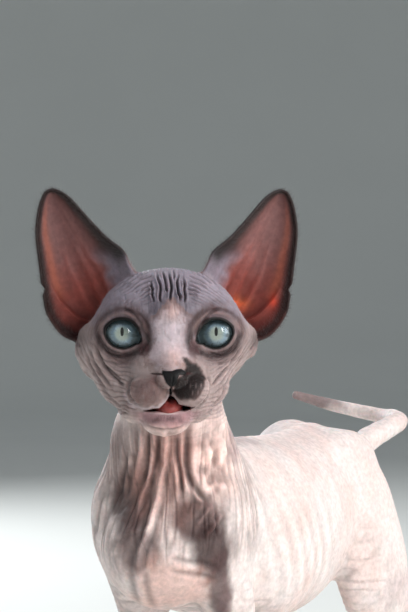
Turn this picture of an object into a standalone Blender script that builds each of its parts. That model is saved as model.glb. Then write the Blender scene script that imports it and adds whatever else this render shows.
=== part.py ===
"""A sphynx kitten at life size, standing with its head turned to its left and its mouth a little open.

Frame: +X is the kitten's left, -Y is the way its body faces, +Z is up, and the floor is at Z = 0.
The tables give sizes in millimetres. Everything in the scene is in metres.
Body forms are in the body's own frame, and head forms in the head's: its origin lies midway between
the eyeballs' centres, -Y is the way the face looks, and +X is the kitten's left.
"""
import math

import bmesh
import bpy
import numpy as np
from mathutils import Matrix, Vector

MM = 0.001
GAP = 0.3

# Where the head sits on the body, and how far it is turned to the kitten's left.
HEAD_AT = (21.6, -45.3, 203.7)
HEAD_TURN = 34.0

# The torso's stations along Y: place, height of the middle, half width, half height.
TORSO = [
    (-39, 117, 4, 5),
    (-37, 117, 10.5, 12),
    (-32, 118, 18, 18.5),
    (-20, 121, 26.5, 28),
    (0, 123.5, 29.5, 33.5),
    (25, 121, 31, 37.5),
    (50, 117.5, 33, 40),
    (75, 117, 32.5, 40),
    (95, 119.5, 29.5, 39),
    (112, 124, 26.5, 36.5),
    (130, 129, 24, 27.5),
    (144, 131, 18, 17.5),
    (152, 132, 9, 9),
]

# Stations of the round forms: centre, half width across, half width fore and aft.
NECK = [
    ((0, 6, 122), 28, 27),
    ((0.3, -4, 142), 29.5, 27),
    ((3.4, -13, 160), 25.6, 23),
    ((7.4, -20, 176), 20.1, 19.5),
    ((8, -24, 194), 17, 17),
]
FORELEG = [
    ((21, -10, 136), 10.5, 15),
    ((21.5, -8, 122), 11, 16.5),
    ((20.5, -3, 106), 10.8, 14.5),
    ((20.3, 3, 91), 10.6, 12),
    ((20, 3, 74), 8.8, 9.4),
    ((20, 1, 55), 7.2, 7.6),
    ((20, -1, 34), 6.5, 6.6),
    ((20.3, -4, 20), 7, 7.2),
    ((20.5, -8, 11), 8.2, 8.5),
]
HIND_LEG_BACK = [
    ((14, 122, 138), 12, 20),
    ((18, 127, 124), 13.5, 23),
    ((21, 130, 106), 13.5, 27),
    ((23.5, 135, 88), 12.3, 26.5),
    ((24.5, 145, 73), 10.3, 17),
    ((24, 157, 60), 8, 10.8),
    ((23, 169, 49), 6.2, 7.8),
    ((22, 177, 39), 5.6, 6.6),
    ((22, 175, 25), 5.2, 5.4),
    ((22, 171, 13), 6.2, 6.2),
    ((22, 165, 9), 7.4, 6.6),
]
HIND_LEG_FORWARD = [
    ((14, 120, 138), 12, 20),
    ((18, 121, 124), 13.5, 23),
    ((21, 117, 106), 13.5, 23.5),
    ((23.5, 110, 88), 12, 18.5),
    ((24, 106, 75), 10, 13.5),
    ((23.5, 117, 61), 8, 10.5),
    ((22.5, 131, 51), 6.2, 7.8),
    ((22, 141, 42), 5.6, 6.6),
    ((22, 140, 27), 5.2, 5.4),
    ((22, 137, 14), 6.2, 6.2),
    ((22, 131, 9), 7.4, 6.6),
]
TAIL = [
    ((0, 140, 136), 8.5, 8.5),
    ((2, 153, 143), 6.9, 6.9),
    ((5, 168, 150), 6, 6),
    ((8, 185, 155), 5.3, 5.3),
    ((6, 199, 157), 4.8, 4.8),
    ((-5, 209, 158), 4.3, 4.3),
    ((-20, 213, 160), 3.9, 3.9),
    ((-38, 211, 163.5), 3.4, 3.4),
    ((-54, 206, 168), 2.5, 2.5),
]

# Ellipsoids that fill the body out: centre, radii, turn about X. Those off the middle are mirrored.
BODY_LUMPS = [
    ((15, 4, 141), (8, 17, 15), 20),
    ((19.5, -12, 131), (11, 15, 21), 0),
    ((19, 40, 108), (15, 30, 26), 0),
]

# The points of the hips. The right one stands higher, over the leg that carries more.
HIPS = [((13, 121, 145), (11, 24, 12)), ((-13, 119, 147), (12, 25, 14.5))]

# Paws: the pad's centre and radii, then each toe's place across and ahead, and its half length.
PAW_PAD = ((0, -1, 7.4), (8.8, 11, 7.8))
TOES = [(-7, -8.5, 7), (-2.5, -12, 7.8), (2.5, -12, 7.8), (7, -8.5, 7)]
TOE_WIDTH = 3.7
TOE_HEIGHT = 5
TOE_MIDDLE = 4.2
PAW_TURN = 6.0
CLAW_RADIUS = 0.9
CLAW_SIDES = 6
TOE_TILT = 5

# A claw's hook from inside the toe: ahead of the toe's tip, above its middle, and share of the radius.
CLAW_HOOK = [(4.4, 1.9, 1), (1.8, 2.1, 0.9), (0.2, 1.6, 0.65), (-0.9, 0.2, 0.3)]

FORE_PAW_AT = {1: (20.5, -9), -1: (20.5, -9)}
HIND_PAW_AT = {1: (22, 163), -1: (22, 129)}
HIND_LEG = {1: HIND_LEG_BACK, -1: HIND_LEG_FORWARD}

# Where the body is parted, each a point of the plane and the way that it faces.
NECK_TOP_CUT = ((0, 20, -26), (0, -0.49, 0.87))
NECK_BASE_CUT = ((0, -14, 141), (0, -0.48, 0.88))
ELBOW_CUT = ((20, 3, 86), (0, 0, 1))
WRIST_CUT = ((20, -4, 22), (0, -0.12, 1))
TAIL_CUTS = [
    ((0, 147, 140), (0.15, 0.87, 0.47)),
    ((5, 168, 150), (0.2, 0.9, 0.35)),
    ((3.5, 203, 157.3), (-0.7, 0.7, 0.1)),
]
KNEE_CUT = {1: ((24.5, 144, 75), (0, -0.55, 0.83)), -1: ((24, 108, 76), (0, -0.2, 0.98))}
HOCK_CUT = {1: ((22, 176, 37), (0, 0.1, 1)), -1: ((22, 141, 38), (0, 0.1, 1))}

TAIL_BOX = ((-90, -90, 0), (90, 90, 150))

# Boxes that hold a shoulder or a haunch down to its foot, and the tilt of their inner faces.
SHOULDER_BOX = ((0, -42, -110), (60, 26, 50))
SHOULDER_AT = (13, 0, 88)
HAUNCH_BOX = {1: ((0, 0, -110), (60, 110, 52)), -1: ((0, -16, -110), (60, 72, 52))}
HAUNCH_AT = (10, 100, 88)
LEG_BOX_TILT = 14.0

# Head forms: centre, radii, turn about X, then about Y, in degrees. Those off the middle are mirrored.
HEAD_LUMPS = [
    ((0, 15.5, 3.5), (28.5, 31, 19.7), 0, 0),
    ((0, 4, 6), (25, 18, 18.5), 0, 0),
    ((20, 6, -4), (12, 15, 13), 0, 0),
    ((20.5, 19, -7), (14, 15, 15), 0, 12),
    ((24.6, 16, -8.8), (10, 13, 9), 0, 0),
    ((16, -1.5, 8), (9, 9, 5.5), 0, 0),
    ((15.5, 6, -15.5), (13, 16, 11), 0, 25),
    ((12, 1, -21), (11, 14, 9), 0, 25),
    ((0, -5, -2), (11, 12, 15), 25, 0),
    ((0, -11, -11), (10.5, 12, 9), 20, 0),
    ((8.5, -9, -15), (8, 9.5, 9), 0, 0),
    ((0, 22, -12), (20, 20, 19), 0, 0),
]

# Stations of the fold of skin in front of the left ear's root.
EAR_FRONT = [
    ((16, 2, -3.5), 8, 8),
    ((24, 8, -2.2), 7, 7),
    ((29.5, 12.5, -1.6), 5.2, 5.2),
    ((32, 15, -4), 3.4, 3.4),
    ((32.4, 15.4, -7.6), 2.4, 2.4),
]

# The muzzle's forms, as the head's. The face below LEAN_FROM leans to the kitten's right. The left cheek
# is the slimmer one by LEFT_CHEEK: at a height, over a reach up and down, and from one place across to
# another, which lie farther out above that height.
MUZZLE_LUMPS = [
    ((0, -19, -14.4), (6.6, 8, 5.4), 30, 0),
    ((8.4, -17, -22), (8.1, 8.8, 6.7), 0, 0),
    ((0, -9, -28), (12, 12.5, 7), 0, 0),
    ((9, -3, -27.5), (9.5, 13, 7.5), 0, 15),
    ((0, -11.5, -33), (9.6, 9, 6.4), 0, 0),
    ((8, 8, -25), (10, 15, 9), 0, 20),
]
LEAN_FROM = -13
LEAN = 0.09
LEFT_CHEEK = 4.6
CHEEK_HEIGHT = -15
CHEEK_REACH = 9
CHEEK_ACROSS = (14, 26)
CHEEK_SLANT = 0.7

# Eyes: the eyeball's centre and radius, the lids' thickness, how far both eyes look aside in degrees,
# where the cornea's dome starts as a share of the radius and how far it rises, and the lids' opening as
# angles from the outer side and distances from the centre.
EYE_AT = (17.75, 0, -0.9)
EYE_RADIUS = 8.7
LID = 1.6
EYE_TURN = -4.0
CORNEA_EDGE = 0.72
CORNEA_RISE = 0.045
EYE_OPENING = [
    (0, 6), (25, 6.1), (45, 5.65), (65, 5.4), (90, 5.3), (115, 5.5), (140, 5.75), (165, 6.1), (183, 6.9),
    (197, 7.6), (206, 7.4), (216, 6.1), (235, 5.4), (255, 5.1), (270, 4.95), (293, 4.9), (313, 5.1),
    (337, 5.4),
]
OPENING_STEP = 15
OPENING_FRONT = -30

# The mouth from the front: the opening between the lips, and the lips' line out to its corners.
MOUTH_OPENING = [
    (0.1, -23.4), (1.7, -24), (2.8, -25.3), (3.7, -26.7), (5.8, -27.2), (7.5, -27.6), (8.4, -27.9),
    (7.6, -28.7), (6.2, -29.2), (4.4, -29.1), (2.5, -29.5), (-0.5, -29.9), (-3.7, -29.4), (-6.6, -29.3),
    (-7.3, -29), (-5.9, -28.4), (-3.5, -28.1), (-2.5, -27.1), (-1.3, -25.7), (-0.4, -24.2),
]
LIP_LINE = [
    (0, -28.4), (8, -28), (9.6, -27.7), (9.6, -27.9), (8, -28.5),
    (0, -29), (-7, -29.3), (-8.8, -29.2), (-8.8, -29.1), (-7, -28.9),
]
MOUTH_FRONT = -40
MOUTH_BACK = -12
LIPS_BACK = -4
PHILTRUM = ((-0.3, -40, -23.8), (0.3, -24.6, -20))
TONGUE = ((0.5, -11.8, -28.6), (5.4, 9.2, 4.5))
NOSE = ((0, -24.2, -17.2), (5.8, 3.5, 3.9))
NOSTRIL = ((3.4, -27.8, -17.4), (1.2, 1.8, 0.9))

# Ears: points of the edge nearer the crown and of the outer edge, each from the root to the tip,
# for the kitten's left ear, with how far the sheet between them is pushed back.
EAR_INNER_EDGE = [
    (10, 8, 16), (14.9, 7, 24.6), (17.6, 8, 30.5), (23.9, 10.5, 35.8),
    (30.5, 13.5, 42.8), (37.5, 17, 50.8), (41.5, 18.6, 53.8), (44.4, 19.5, 54.9),
]
EAR_OUTER_EDGE = [
    (31.5, 19, -4.3), (40, 19.5, -1.4), (45.8, 18.5, 6), (47.6, 18, 13),
    (49.3, 18, 26), (50.6, 18.5, 38), (49.6, 19.2, 47.5), (47.4, 19.4, 53.4), (44.4, 19.5, 54.9),
]
EAR_CUP = [(0, 15), (0.25, 13), (0.5, 9), (0.75, 5), (1, 0.6)]
EAR_CUP_ROUNDNESS = 0.8
EAR_THICKNESS = 1.5
EAR_ROWS = 14
EAR_COLUMNS = 11

# Colours of the sub-parts: base colour, roughness.
PALE_SKIN = ((0.80, 0.62, 0.57), 0.62)
EAR_SKIN = ((0.36, 0.16, 0.13), 0.55)
TONGUE_PINK = ((0.62, 0.20, 0.17), 0.35)
NOSE_BLACK = ((0.02, 0.018, 0.02), 0.4)
EYE_BLUE = ((0.35, 0.55, 0.60), 0.05)

BODY_VOXEL = 1.9
FINE_VOXEL = 1.0
BODY_SMOOTHING = 8
SKULL_SMOOTHING = 14
FACE_SMOOTHING = 3
PAW_SMOOTHING = 3
BODY_TRIANGLES = 5000
HEAD_TRIANGLES = 3000
PAW_TRIANGLES = 480
TORSO_SIDES = 32
TORSO_STEPS = 3
LIMB_SIDES = 20
LIMB_STEPS = 4
FORM_SEGMENTS = 24
BALL_SEGMENTS = 20
SMALL_SEGMENTS = 14
NOSTRIL_SEGMENTS = 8
EVERYWHERE = 400
WELD = 0.05
SLIVER = 0.02
SHARP_DEGREES = 50


def vector(point):
    """A point in millimetres as a vector in metres."""
    return Vector(point) * MM


def head_matrix():
    """The head's frame in the body's."""
    return turned(HEAD_AT, HEAD_TURN)


def turned(place, degrees):
    """A frame at a place, turned about Z."""
    return Matrix.Translation(vector(place)) @ Matrix.Rotation(math.radians(degrees), 4, "Z")


def eye_matrix(side):
    """An eye's frame in the head's."""
    x, y, z = EYE_AT
    return turned((side * x, y, z), EYE_TURN)


def link(mesh, name):
    """A new object of the mesh, in the model's collection."""
    obj = bpy.data.objects.new(name, mesh)
    PARTS.objects.link(obj)
    return obj


def linked_grid(grid, name):
    """A new object of the edited mesh."""
    mesh = bpy.data.meshes.new(name)
    grid.to_mesh(mesh)
    grid.free()
    return link(mesh, name)


def copy(obj, name):
    return link(obj.data.copy(), name)


def remove(obj):
    bpy.data.objects.remove(obj, do_unlink=True)


def bake(obj):
    """Applies the object's modifiers and its matrix."""
    bpy.context.view_layer.update()
    graph = bpy.context.evaluated_depsgraph_get()
    mesh = bpy.data.meshes.new_from_object(obj.evaluated_get(graph))
    mesh.transform(obj.matrix_world)
    old = obj.data
    obj.modifiers.clear()
    obj.data = mesh
    obj.matrix_world = Matrix.Identity(4)
    bpy.data.meshes.remove(old)
    return obj


def place(pieces, frame):
    """Moves the pieces' meshes by a frame."""
    for piece in pieces:
        piece.data.transform(frame)
    return pieces


def spline(points, count):
    """Points spread evenly by number along a smooth curve through the given ones."""
    points = np.array(points, float)
    knots = np.concatenate([[2 * points[0] - points[1]], points, [2 * points[-1] - points[-2]]])
    at = np.linspace(0, len(points) - 1, count)
    first = np.minimum(at.astype(int), len(points) - 2)
    t = (at - first)[:, None]
    a, b, c, d = (knots[first + k] for k in range(4))
    bend = 2 * a - 5 * b + 4 * c - d
    return 0.5 * (2 * b + (c - a) * t + bend * t**2 + (3 * b - a - 3 * c + d) * t**3)


def ellipsoid(centre, radii, turn_x=0, turn_y=0, segments=FORM_SEGMENTS):
    """A UV sphere drawn out to the radii and turned."""
    grid = bmesh.new()
    bmesh.ops.create_uvsphere(grid, u_segments=segments, v_segments=segments * 2 // 3, radius=1)
    turn = Matrix.Rotation(math.radians(turn_y), 4, "Y") @ Matrix.Rotation(math.radians(turn_x), 4, "X")
    grid.transform(Matrix.Translation(vector(centre)) @ turn @ Matrix.Diagonal((*vector(radii), 1)))
    return linked_grid(grid, "ellipsoid")


def pair(centre, radii, turn_x=0, turn_y=0):
    """The ellipsoid, and its mirror image where it lies off the middle."""
    made = [ellipsoid(centre, radii, turn_x, turn_y)]
    if centre[0]:
        made.append(ellipsoid((-centre[0], *centre[1:]), radii, turn_x, -turn_y))
    return made


def loft(rings):
    """A closed form through rings of equally many points, with a flat cap at each end."""
    grid = bmesh.new()
    made = [[grid.verts.new(vector(point)) for point in ring] for ring in rings]
    for lower, upper in zip(made, made[1:]):
        for k in range(len(lower)):
            n = (k + 1) % len(lower)
            grid.faces.new((lower[k], lower[n], upper[n], upper[k]))
    grid.faces.new(made[0][::-1])
    grid.faces.new(made[-1])
    bmesh.ops.recalc_face_normals(grid, faces=grid.faces)
    return linked_grid(grid, "loft")


def limb(stations, side=1, sides=LIMB_SIDES, steps=LIMB_STEPS):
    """A loft of ellipses square to the stations' line. A side of -1 makes the right one."""
    rows = np.array([(*centre, across, along) for centre, across, along in stations])
    rows = spline(rows, (len(rows) - 1) * steps + 1)
    rows[:, 0] *= side
    angles = np.arange(sides) * 2 * math.pi / sides
    rings = []
    for row, tangent in zip(rows, np.gradient(rows[:, :3], axis=0)):
        along = np.cross(tangent, (1, 0, 0))
        along /= np.linalg.norm(along)
        across = np.cross(along, tangent)
        across /= np.linalg.norm(across)
        ring = np.outer(np.cos(angles), across * row[3]) + np.outer(np.sin(angles), along * row[4])
        rings.append(row[:3] + ring)
    return loft(rings)


def torso():
    """A loft of upright ellipses along the body."""
    angles = np.arange(TORSO_SIDES) * 2 * math.pi / TORSO_SIDES
    return loft([
        [(width * math.cos(a), y, middle + height * math.sin(a)) for a in angles]
        for y, middle, width, height in spline(TORSO, (len(TORSO) - 1) * TORSO_STEPS + 1)
    ])


def join(pieces, name):
    """The pieces' meshes in one object."""
    joined = bmesh.new()
    for piece in pieces:
        joined.from_mesh(piece.data)
        remove(piece)
    return linked_grid(joined, name)


def fuse(pieces, name, voxel, smoothing, triangles=None):
    """One smooth closed skin round the pieces, thinned out to a number of triangles."""
    obj = join(pieces, name)
    remesh = obj.modifiers.new("Remesh", "REMESH")
    remesh.mode = "VOXEL"
    remesh.voxel_size = voxel * MM
    smooth = obj.modifiers.new("Smooth", "SMOOTH")
    smooth.iterations = smoothing
    bake(obj)
    return thin_out(obj, triangles) if triangles else obj


def thin_out(obj, triangles):
    """Merges the least needed edges until only so many triangles are left."""
    obj.data.calc_loop_triangles()
    decimate = obj.modifiers.new("Decimate", "DECIMATE")
    decimate.ratio = min(1.0, triangles / len(obj.data.loop_triangles))
    decimate.use_collapse_triangulate = True
    return bake(obj)


def combine(obj, other, operation="DIFFERENCE"):
    """Applies a Boolean of another closed mesh, which is then removed."""
    modifier = obj.modifiers.new("Boolean", "BOOLEAN")
    modifier.object = other
    modifier.operation = operation
    bake(obj)
    remove(other)
    return obj


def unite(obj, pieces):
    """Joins closed pieces to the object by one Boolean on their collection."""
    together = bpy.data.collections.new("pieces")
    bpy.context.scene.collection.children.link(together)
    for piece in pieces:
        PARTS.objects.unlink(piece)
        together.objects.link(piece)
    modifier = obj.modifiers.new("Boolean", "BOOLEAN")
    modifier.operand_type = "COLLECTION"
    modifier.collection = together
    modifier.operation = "UNION"
    bake(obj)
    for piece in pieces:
        remove(piece)
    bpy.data.collections.remove(together)
    return obj


def grown(obj, by=GAP):
    """A copy of the object with its surface moved out."""
    other = copy(obj, "grown")
    move = other.modifiers.new("Displace", "DISPLACE")
    move.strength = by * MM
    move.mid_level = 0
    return bake(other)


def largest_body(obj):
    """Drops every loose scrap but the surface with the largest area."""
    grid = bmesh.new()
    grid.from_mesh(obj.data)
    left, bodies = set(grid.faces), []
    while left:
        body, reached = set(), [left.pop()]
        while reached:
            face = reached.pop()
            body.add(face)
            near = {other for edge in face.edges for other in edge.link_faces} & left
            left -= near
            reached.extend(near)
        bodies.append(body)
    kept = max(bodies, key=lambda faces: sum(face.calc_area() for face in faces))
    bmesh.ops.delete(grid, geom=[face for face in grid.faces if face not in kept], context="FACES")
    grid.to_mesh(obj.data)
    grid.free()
    return obj


def drop_slivers(obj):
    """Dissolves faces that are too narrow to matter."""
    grid = bmesh.new()
    grid.from_mesh(obj.data)
    bmesh.ops.dissolve_degenerate(grid, dist=SLIVER * MM, edges=grid.edges)
    bmesh.ops.triangulate(grid, faces=grid.faces)
    grid.to_mesh(obj.data)
    grid.free()
    return obj


def block(low, high, frame=None):
    """A box between two corners, in the body's frame or another."""
    low, high = vector(low), vector(high)
    grid = bmesh.new()
    bmesh.ops.create_cube(grid, size=1)
    grid.transform(Matrix.Translation((low + high) / 2) @ Matrix.Diagonal((*(high - low), 1)))
    if frame:
        grid.transform(frame)
    return linked_grid(grid, "block")


def trim(obj, point, normal, frame=None, gap=GAP / 2):
    """Cuts away what lies past a plane, on the side that its normal points to, and a little more."""
    turn = Vector(normal).to_track_quat("Z", "Y").to_matrix().to_4x4()
    plane = Matrix.Translation(vector(point)) @ turn
    if frame:
        plane = frame @ plane
    reach = EVERYWHERE
    combine(obj, block((-reach, -reach, -gap), (reach, reach, reach), plane))
    return largest_body(obj)


def part(obj, point, normal, name, frame=None):
    """Parts the object at a plane. What lies past it becomes a new object."""
    beyond = trim(copy(obj, name), point, [-v for v in normal], frame)
    trim(obj, point, normal, frame)
    return beyond


def take(obj, low, high, frame, name):
    """Cuts the box's share out of the object as a new one, with the gap between them."""
    share = combine(copy(obj, name), block(low, high, frame), "INTERSECT")
    wider = [v - GAP for v in low], [v + GAP for v in high]
    combine(obj, block(*wider, frame))
    largest_body(obj)
    return largest_body(share)


def outline_cutter(points, front, back):
    """A filled outline in X and Z, drawn out along Y."""
    curve = bpy.data.curves.new("outline", "CURVE")
    curve.dimensions = "2D"
    curve.fill_mode = "BOTH"
    curve.extrude = (back - front) / 2 * MM
    line = curve.splines.new("POLY")
    line.points.add(len(points) - 1)
    for point, (x, z) in zip(line.points, points):
        point.co = (x * MM, z * MM, 0, 1)
    line.use_cyclic_u = True
    drawn = bpy.data.objects.new("outline", curve)
    PARTS.objects.link(drawn)
    bpy.context.view_layer.update()
    mesh = bpy.data.meshes.new_from_object(drawn.evaluated_get(bpy.context.evaluated_depsgraph_get()))
    remove(drawn)
    grid = bmesh.new()
    grid.from_mesh(mesh)
    bmesh.ops.remove_doubles(grid, verts=grid.verts, dist=WELD * MM)
    bmesh.ops.recalc_face_normals(grid, faces=grid.faces)
    upright = Matrix.Rotation(math.pi / 2, 4, "X")
    grid.transform(Matrix.Translation(vector((0, (front + back) / 2, 0))) @ upright)
    return linked_grid(grid, "outline")


def eye_opening(side):
    """The lids' opening as an outline about the eye's centre."""
    angles, reach = np.array(EYE_OPENING).T
    fine = np.arange(0, 360, OPENING_STEP)
    reach = np.interp(fine, [*angles, 360], [*reach, reach[0]])
    turns = np.radians(fine)
    return [(side * x, z) for x, z in zip(reach * np.cos(turns), reach * np.sin(turns))]


def eyeball(side, grown_by=0):
    """The eyeball, with the cornea's low dome in front."""
    radius = EYE_RADIUS + grown_by
    ball = ellipsoid((0, 0, 0), [radius] * 3, 90, segments=BALL_SEGMENTS)
    for point in ball.data.vertices:
        ahead = -point.co.y / (radius * MM)
        rise = max(0.0, ahead - CORNEA_EDGE) / (1 - CORNEA_EDGE)
        point.co *= 1 + CORNEA_RISE * math.sin(rise * math.pi / 2) ** 2
    return place([ball], eye_matrix(side))[0]


def lean(obj):
    """Leans the lower face over, and takes the left cheek in."""
    near, far = CHEEK_ACROSS
    for point in obj.data.vertices:
        x, _, z = point.co / MM
        above = z - CHEEK_HEIGHT
        share = min(1.0, max(0.0, (x - CHEEK_SLANT * above - near) / (far - near)))
        cheek = LEFT_CHEEK * math.exp(-((above / CHEEK_REACH) ** 2)) * share * share * (3 - 2 * share)
        point.co.x += (min(0.0, z - LEAN_FROM) * LEAN - cheek) * MM
    return obj


def head_flesh():
    """The skull's forms run smoothly together, then the muzzle's, and a ball for each eye and its lids."""
    skull = [limb(NECK)]
    place(skull, head_matrix().inverted())
    for lump in HEAD_LUMPS:
        skull += pair(*lump)
    pieces = [fuse(skull, "skull", FINE_VOXEL, SKULL_SMOOTHING)]
    for lump in MUZZLE_LUMPS:
        pieces += pair(*lump)
    pieces += [limb(EAR_FRONT), limb(EAR_FRONT, -1)]
    return pieces + pair(EYE_AT, [EYE_RADIUS + LID] * 3)


def body_flesh():
    """The torso, neck, legs and tail, without paws, and the head to run the neck's skin up to."""
    pieces = [torso(), limb(NECK), limb(TAIL)]
    for side in (1, -1):
        pieces += [limb(FORELEG, side), limb(HIND_LEG[side], side)]
    for lump in BODY_LUMPS:
        pieces += pair(*lump)
    pieces += [ellipsoid(*hip) for hip in HIPS]
    return pieces + place(head_flesh(), head_matrix())


def claw(across, tip):
    """A short hooked cone at a toe's tip, in the paw's frame."""
    stations = [
        ((across, tip + ahead, TOE_MIDDLE + up), CLAW_RADIUS * size, CLAW_RADIUS * size)
        for ahead, up, size in CLAW_HOOK
    ]
    return limb(stations, sides=CLAW_SIDES, steps=1)


def paw(stations, place_at, side, cut, name):
    """A paw's pad and toes with claws, cut flat at the floor, and parted from the leg above."""
    across, along = place_at
    frame = turned((side * across, along, 0), side * PAW_TURN)
    forms = [ellipsoid(*PAW_PAD)]
    for x, y, length in TOES:
        forms.append(ellipsoid((x, y, TOE_MIDDLE), (TOE_WIDTH, length, TOE_HEIGHT), TOE_TILT))
    forms = place(forms, frame) + [limb(stations, side)]
    obj = fuse(forms, name, FINE_VOXEL, PAW_SMOOTHING)
    trim(obj, *cut)
    thin_out(obj, PAW_TRIANGLES)
    unite(obj, place([claw(x, y - length) for x, y, length in TOES], frame))
    return trim(obj, (0, 0, 0), (0, 0, -1), gap=0)


def ear(side, name):
    """One ear as a cupped sheet between its two edges, with its real thickness."""
    places, depths = np.array(EAR_CUP).T
    edges = zip(spline(EAR_INNER_EDGE, EAR_ROWS), spline(EAR_OUTER_EDGE, EAR_ROWS))
    grid = bmesh.new()
    rows = []
    for k, (inner, outer) in enumerate(edges):
        cup = np.interp(k / (EAR_ROWS - 1), places, depths)
        row = []
        for share in np.linspace(0, 1, EAR_COLUMNS):
            x, y, z = inner + (outer - inner) * share
            y += cup * math.sin(math.pi * share) ** EAR_CUP_ROUNDNESS
            row.append(grid.verts.new(vector((side * x, y, z))))
        rows.append(row)
    for lower, upper in zip(rows, rows[1:]):
        for k in range(EAR_COLUMNS - 1):
            corners = (lower[k], lower[k + 1], upper[k + 1], upper[k])
            grid.faces.new(corners[::side])
    bmesh.ops.remove_doubles(grid, verts=grid.verts, dist=WELD * MM)
    bmesh.ops.triangulate(grid, faces=grid.faces)
    grid.transform(head_matrix())
    obj = linked_grid(grid, name)
    shell = obj.modifiers.new("Solidify", "SOLIDIFY")
    shell.thickness = EAR_THICKNESS * MM
    shell.offset = 0
    return bake(obj)


def head_parts():
    """The head, carved for its eyes, nose, tongue, mouth and lids, and the parts that fill them."""
    frame = head_matrix()
    head = fuse(head_flesh(), "head", FINE_VOXEL, FACE_SMOOTHING, HEAD_TRIANGLES)
    trim(head, NECK_TOP_CUT[0], [-v for v in NECK_TOP_CUT[1]])
    tongue = ellipsoid(*TONGUE, segments=SMALL_SEGMENTS)
    nose = ellipsoid(*NOSE, segments=SMALL_SEGMENTS)
    combine(head, outline_cutter(MOUTH_OPENING, MOUTH_FRONT, MOUTH_BACK))
    combine(head, outline_cutter(LIP_LINE, MOUTH_FRONT, LIPS_BACK))
    combine(head, grown(tongue))
    combine(head, grown(nose))
    combine(head, block(*PHILTRUM))
    made = [head, tongue, nose]
    for side in (1, -1):
        across, *rest = NOSTRIL[0]
        combine(nose, ellipsoid((side * across, *rest), NOSTRIL[1], segments=NOSTRIL_SEGMENTS))
    for obj in made:
        lean(drop_slivers(obj))
    for side, name in ((1, "eye_left"), (-1, "eye_right")):
        opening = outline_cutter(eye_opening(side), OPENING_FRONT, 0)
        place([opening], eye_matrix(side))
        combine(head, opening)
        combine(head, eyeball(side, GAP))
        ball = eyeball(side)
        ball.name = name
        made.append(ball)
    largest_body(head)
    place(made, frame)
    for obj, name in zip(made, ("head", "tongue", "nose")):
        obj.name = name
    return made


def leg(body, box, at, side, knee, ankle, names):
    """A leg down to its foot, cut out of the body by a tilted box and parted at its middle joint."""
    (near, *low), (far, *high) = box
    near, far = sorted((side * near, side * far))
    x, y, z = at
    tilt = Matrix.Rotation(math.radians(side * LEG_BOX_TILT), 4, "Y")
    frame = Matrix.Translation(vector((side * x, y, z))) @ tilt
    upper = take(body, (near, *low), (far, *high), frame, names[0])
    trim(upper, ankle[0], [-v for v in ankle[1]])
    lower = copy(upper, names[1])
    trim(upper, knee[0], [-v for v in knee[1]])
    trim(lower, *knee)
    return upper, lower


def mirrored(cut, side):
    """A cut given for the left side, as it is on either side."""
    return [(side * v[0], *v[1:]) for v in cut]


def leg_parts(body, side, word):
    """Both legs of one side, parted at elbow and wrist, and at knee and hock."""
    elbow, wrist = mirrored(ELBOW_CUT, side), mirrored(WRIST_CUT, side)
    knee, hock = mirrored(KNEE_CUT[side], side), mirrored(HOCK_CUT[side], side)
    fore = [f"fore_{word}_{name}" for name in ("upper", "lower", "paw")]
    hind = [f"hind_{word}_{name}" for name in ("thigh", "shank", "paw")]
    return [
        *leg(body, SHOULDER_BOX, SHOULDER_AT, side, elbow, wrist, fore),
        *leg(body, HAUNCH_BOX[side], HAUNCH_AT, side, knee, hock, hind),
        paw(FORELEG, FORE_PAW_AT[side], side, wrist, fore[-1]),
        paw(HIND_LEG[side], HIND_PAW_AT[side], side, hock, hind[-1]),
    ]


def tail_parts(body):
    """The tail, cut off the rump and parted into three lengths."""
    (root, way), *cuts = TAIL_CUTS
    turn = Vector(way).to_track_quat("Z", "Y").to_matrix().to_4x4()
    rest = take(body, *TAIL_BOX, Matrix.Translation(vector(root)) @ turn, "tail_base")
    made = [rest]
    for cut, name in zip(cuts, ("tail_middle", "tail_tip")):
        rest = part(rest, *cut, name)
        made.append(rest)
    return made


def finish(obj, look):
    """Gives a node its material and a surface that is smooth but for its sharp edges."""
    colour, roughness = look
    material = bpy.data.materials.new(obj.name)
    material.use_nodes = True
    shader = material.node_tree.nodes["Principled BSDF"]
    shader.inputs["Base Color"].default_value = (*colour, 1)
    shader.inputs["Roughness"].default_value = roughness
    shader.inputs["Metallic"].default_value = 0
    obj.data.materials.clear()
    obj.data.materials.append(material)
    obj.data.shade_smooth()
    obj.data.set_sharp_from_angle(angle=math.radians(SHARP_DEGREES))
    obj.data.name = obj.name


def stand(parts):
    """Parents every node to one empty that puts the box's bottom centre at the origin."""
    corners = np.array([v.co for obj in parts for v in obj.data.vertices])
    low, high = corners.min(axis=0), corners.max(axis=0)
    empty = bpy.data.objects.new("kitten_frame", None)
    PARTS.objects.link(empty)
    empty.location = (-(low[0] + high[0]) / 2, -(low[1] + high[1]) / 2, -low[2])
    for obj in parts:
        obj.parent = empty


def main():
    head, *face = head_parts()
    body = fuse(body_flesh(), "torso", BODY_VOXEL, BODY_SMOOTHING, BODY_TRIANGLES)
    trim(body, *NECK_TOP_CUT, head_matrix())
    ears = [ear(1, "ear_left"), ear(-1, "ear_right")]
    for obj in ears:
        combine(obj, grown(head))
        largest_body(obj)
    neck = part(body, *NECK_BASE_CUT, "neck")
    tail = tail_parts(body)
    legs = leg_parts(body, 1, "left") + leg_parts(body, -1, "right")
    for obj in (head, body, neck, *tail, *legs):
        finish(obj, PALE_SKIN)
    for obj in ears:
        finish(obj, EAR_SKIN)
    tongue, nose, *eyes = face
    finish(tongue, TONGUE_PINK)
    finish(nose, NOSE_BLACK)
    for obj in eyes:
        finish(obj, EYE_BLUE)
    stand([head, body, neck, *tail, *legs, *ears, *face])


for old in list(bpy.data.objects):
    bpy.data.objects.remove(old, do_unlink=True)
PARTS = bpy.data.collections.new("sphynx kitten")
bpy.context.scene.collection.children.link(PARTS)
main()
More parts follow.
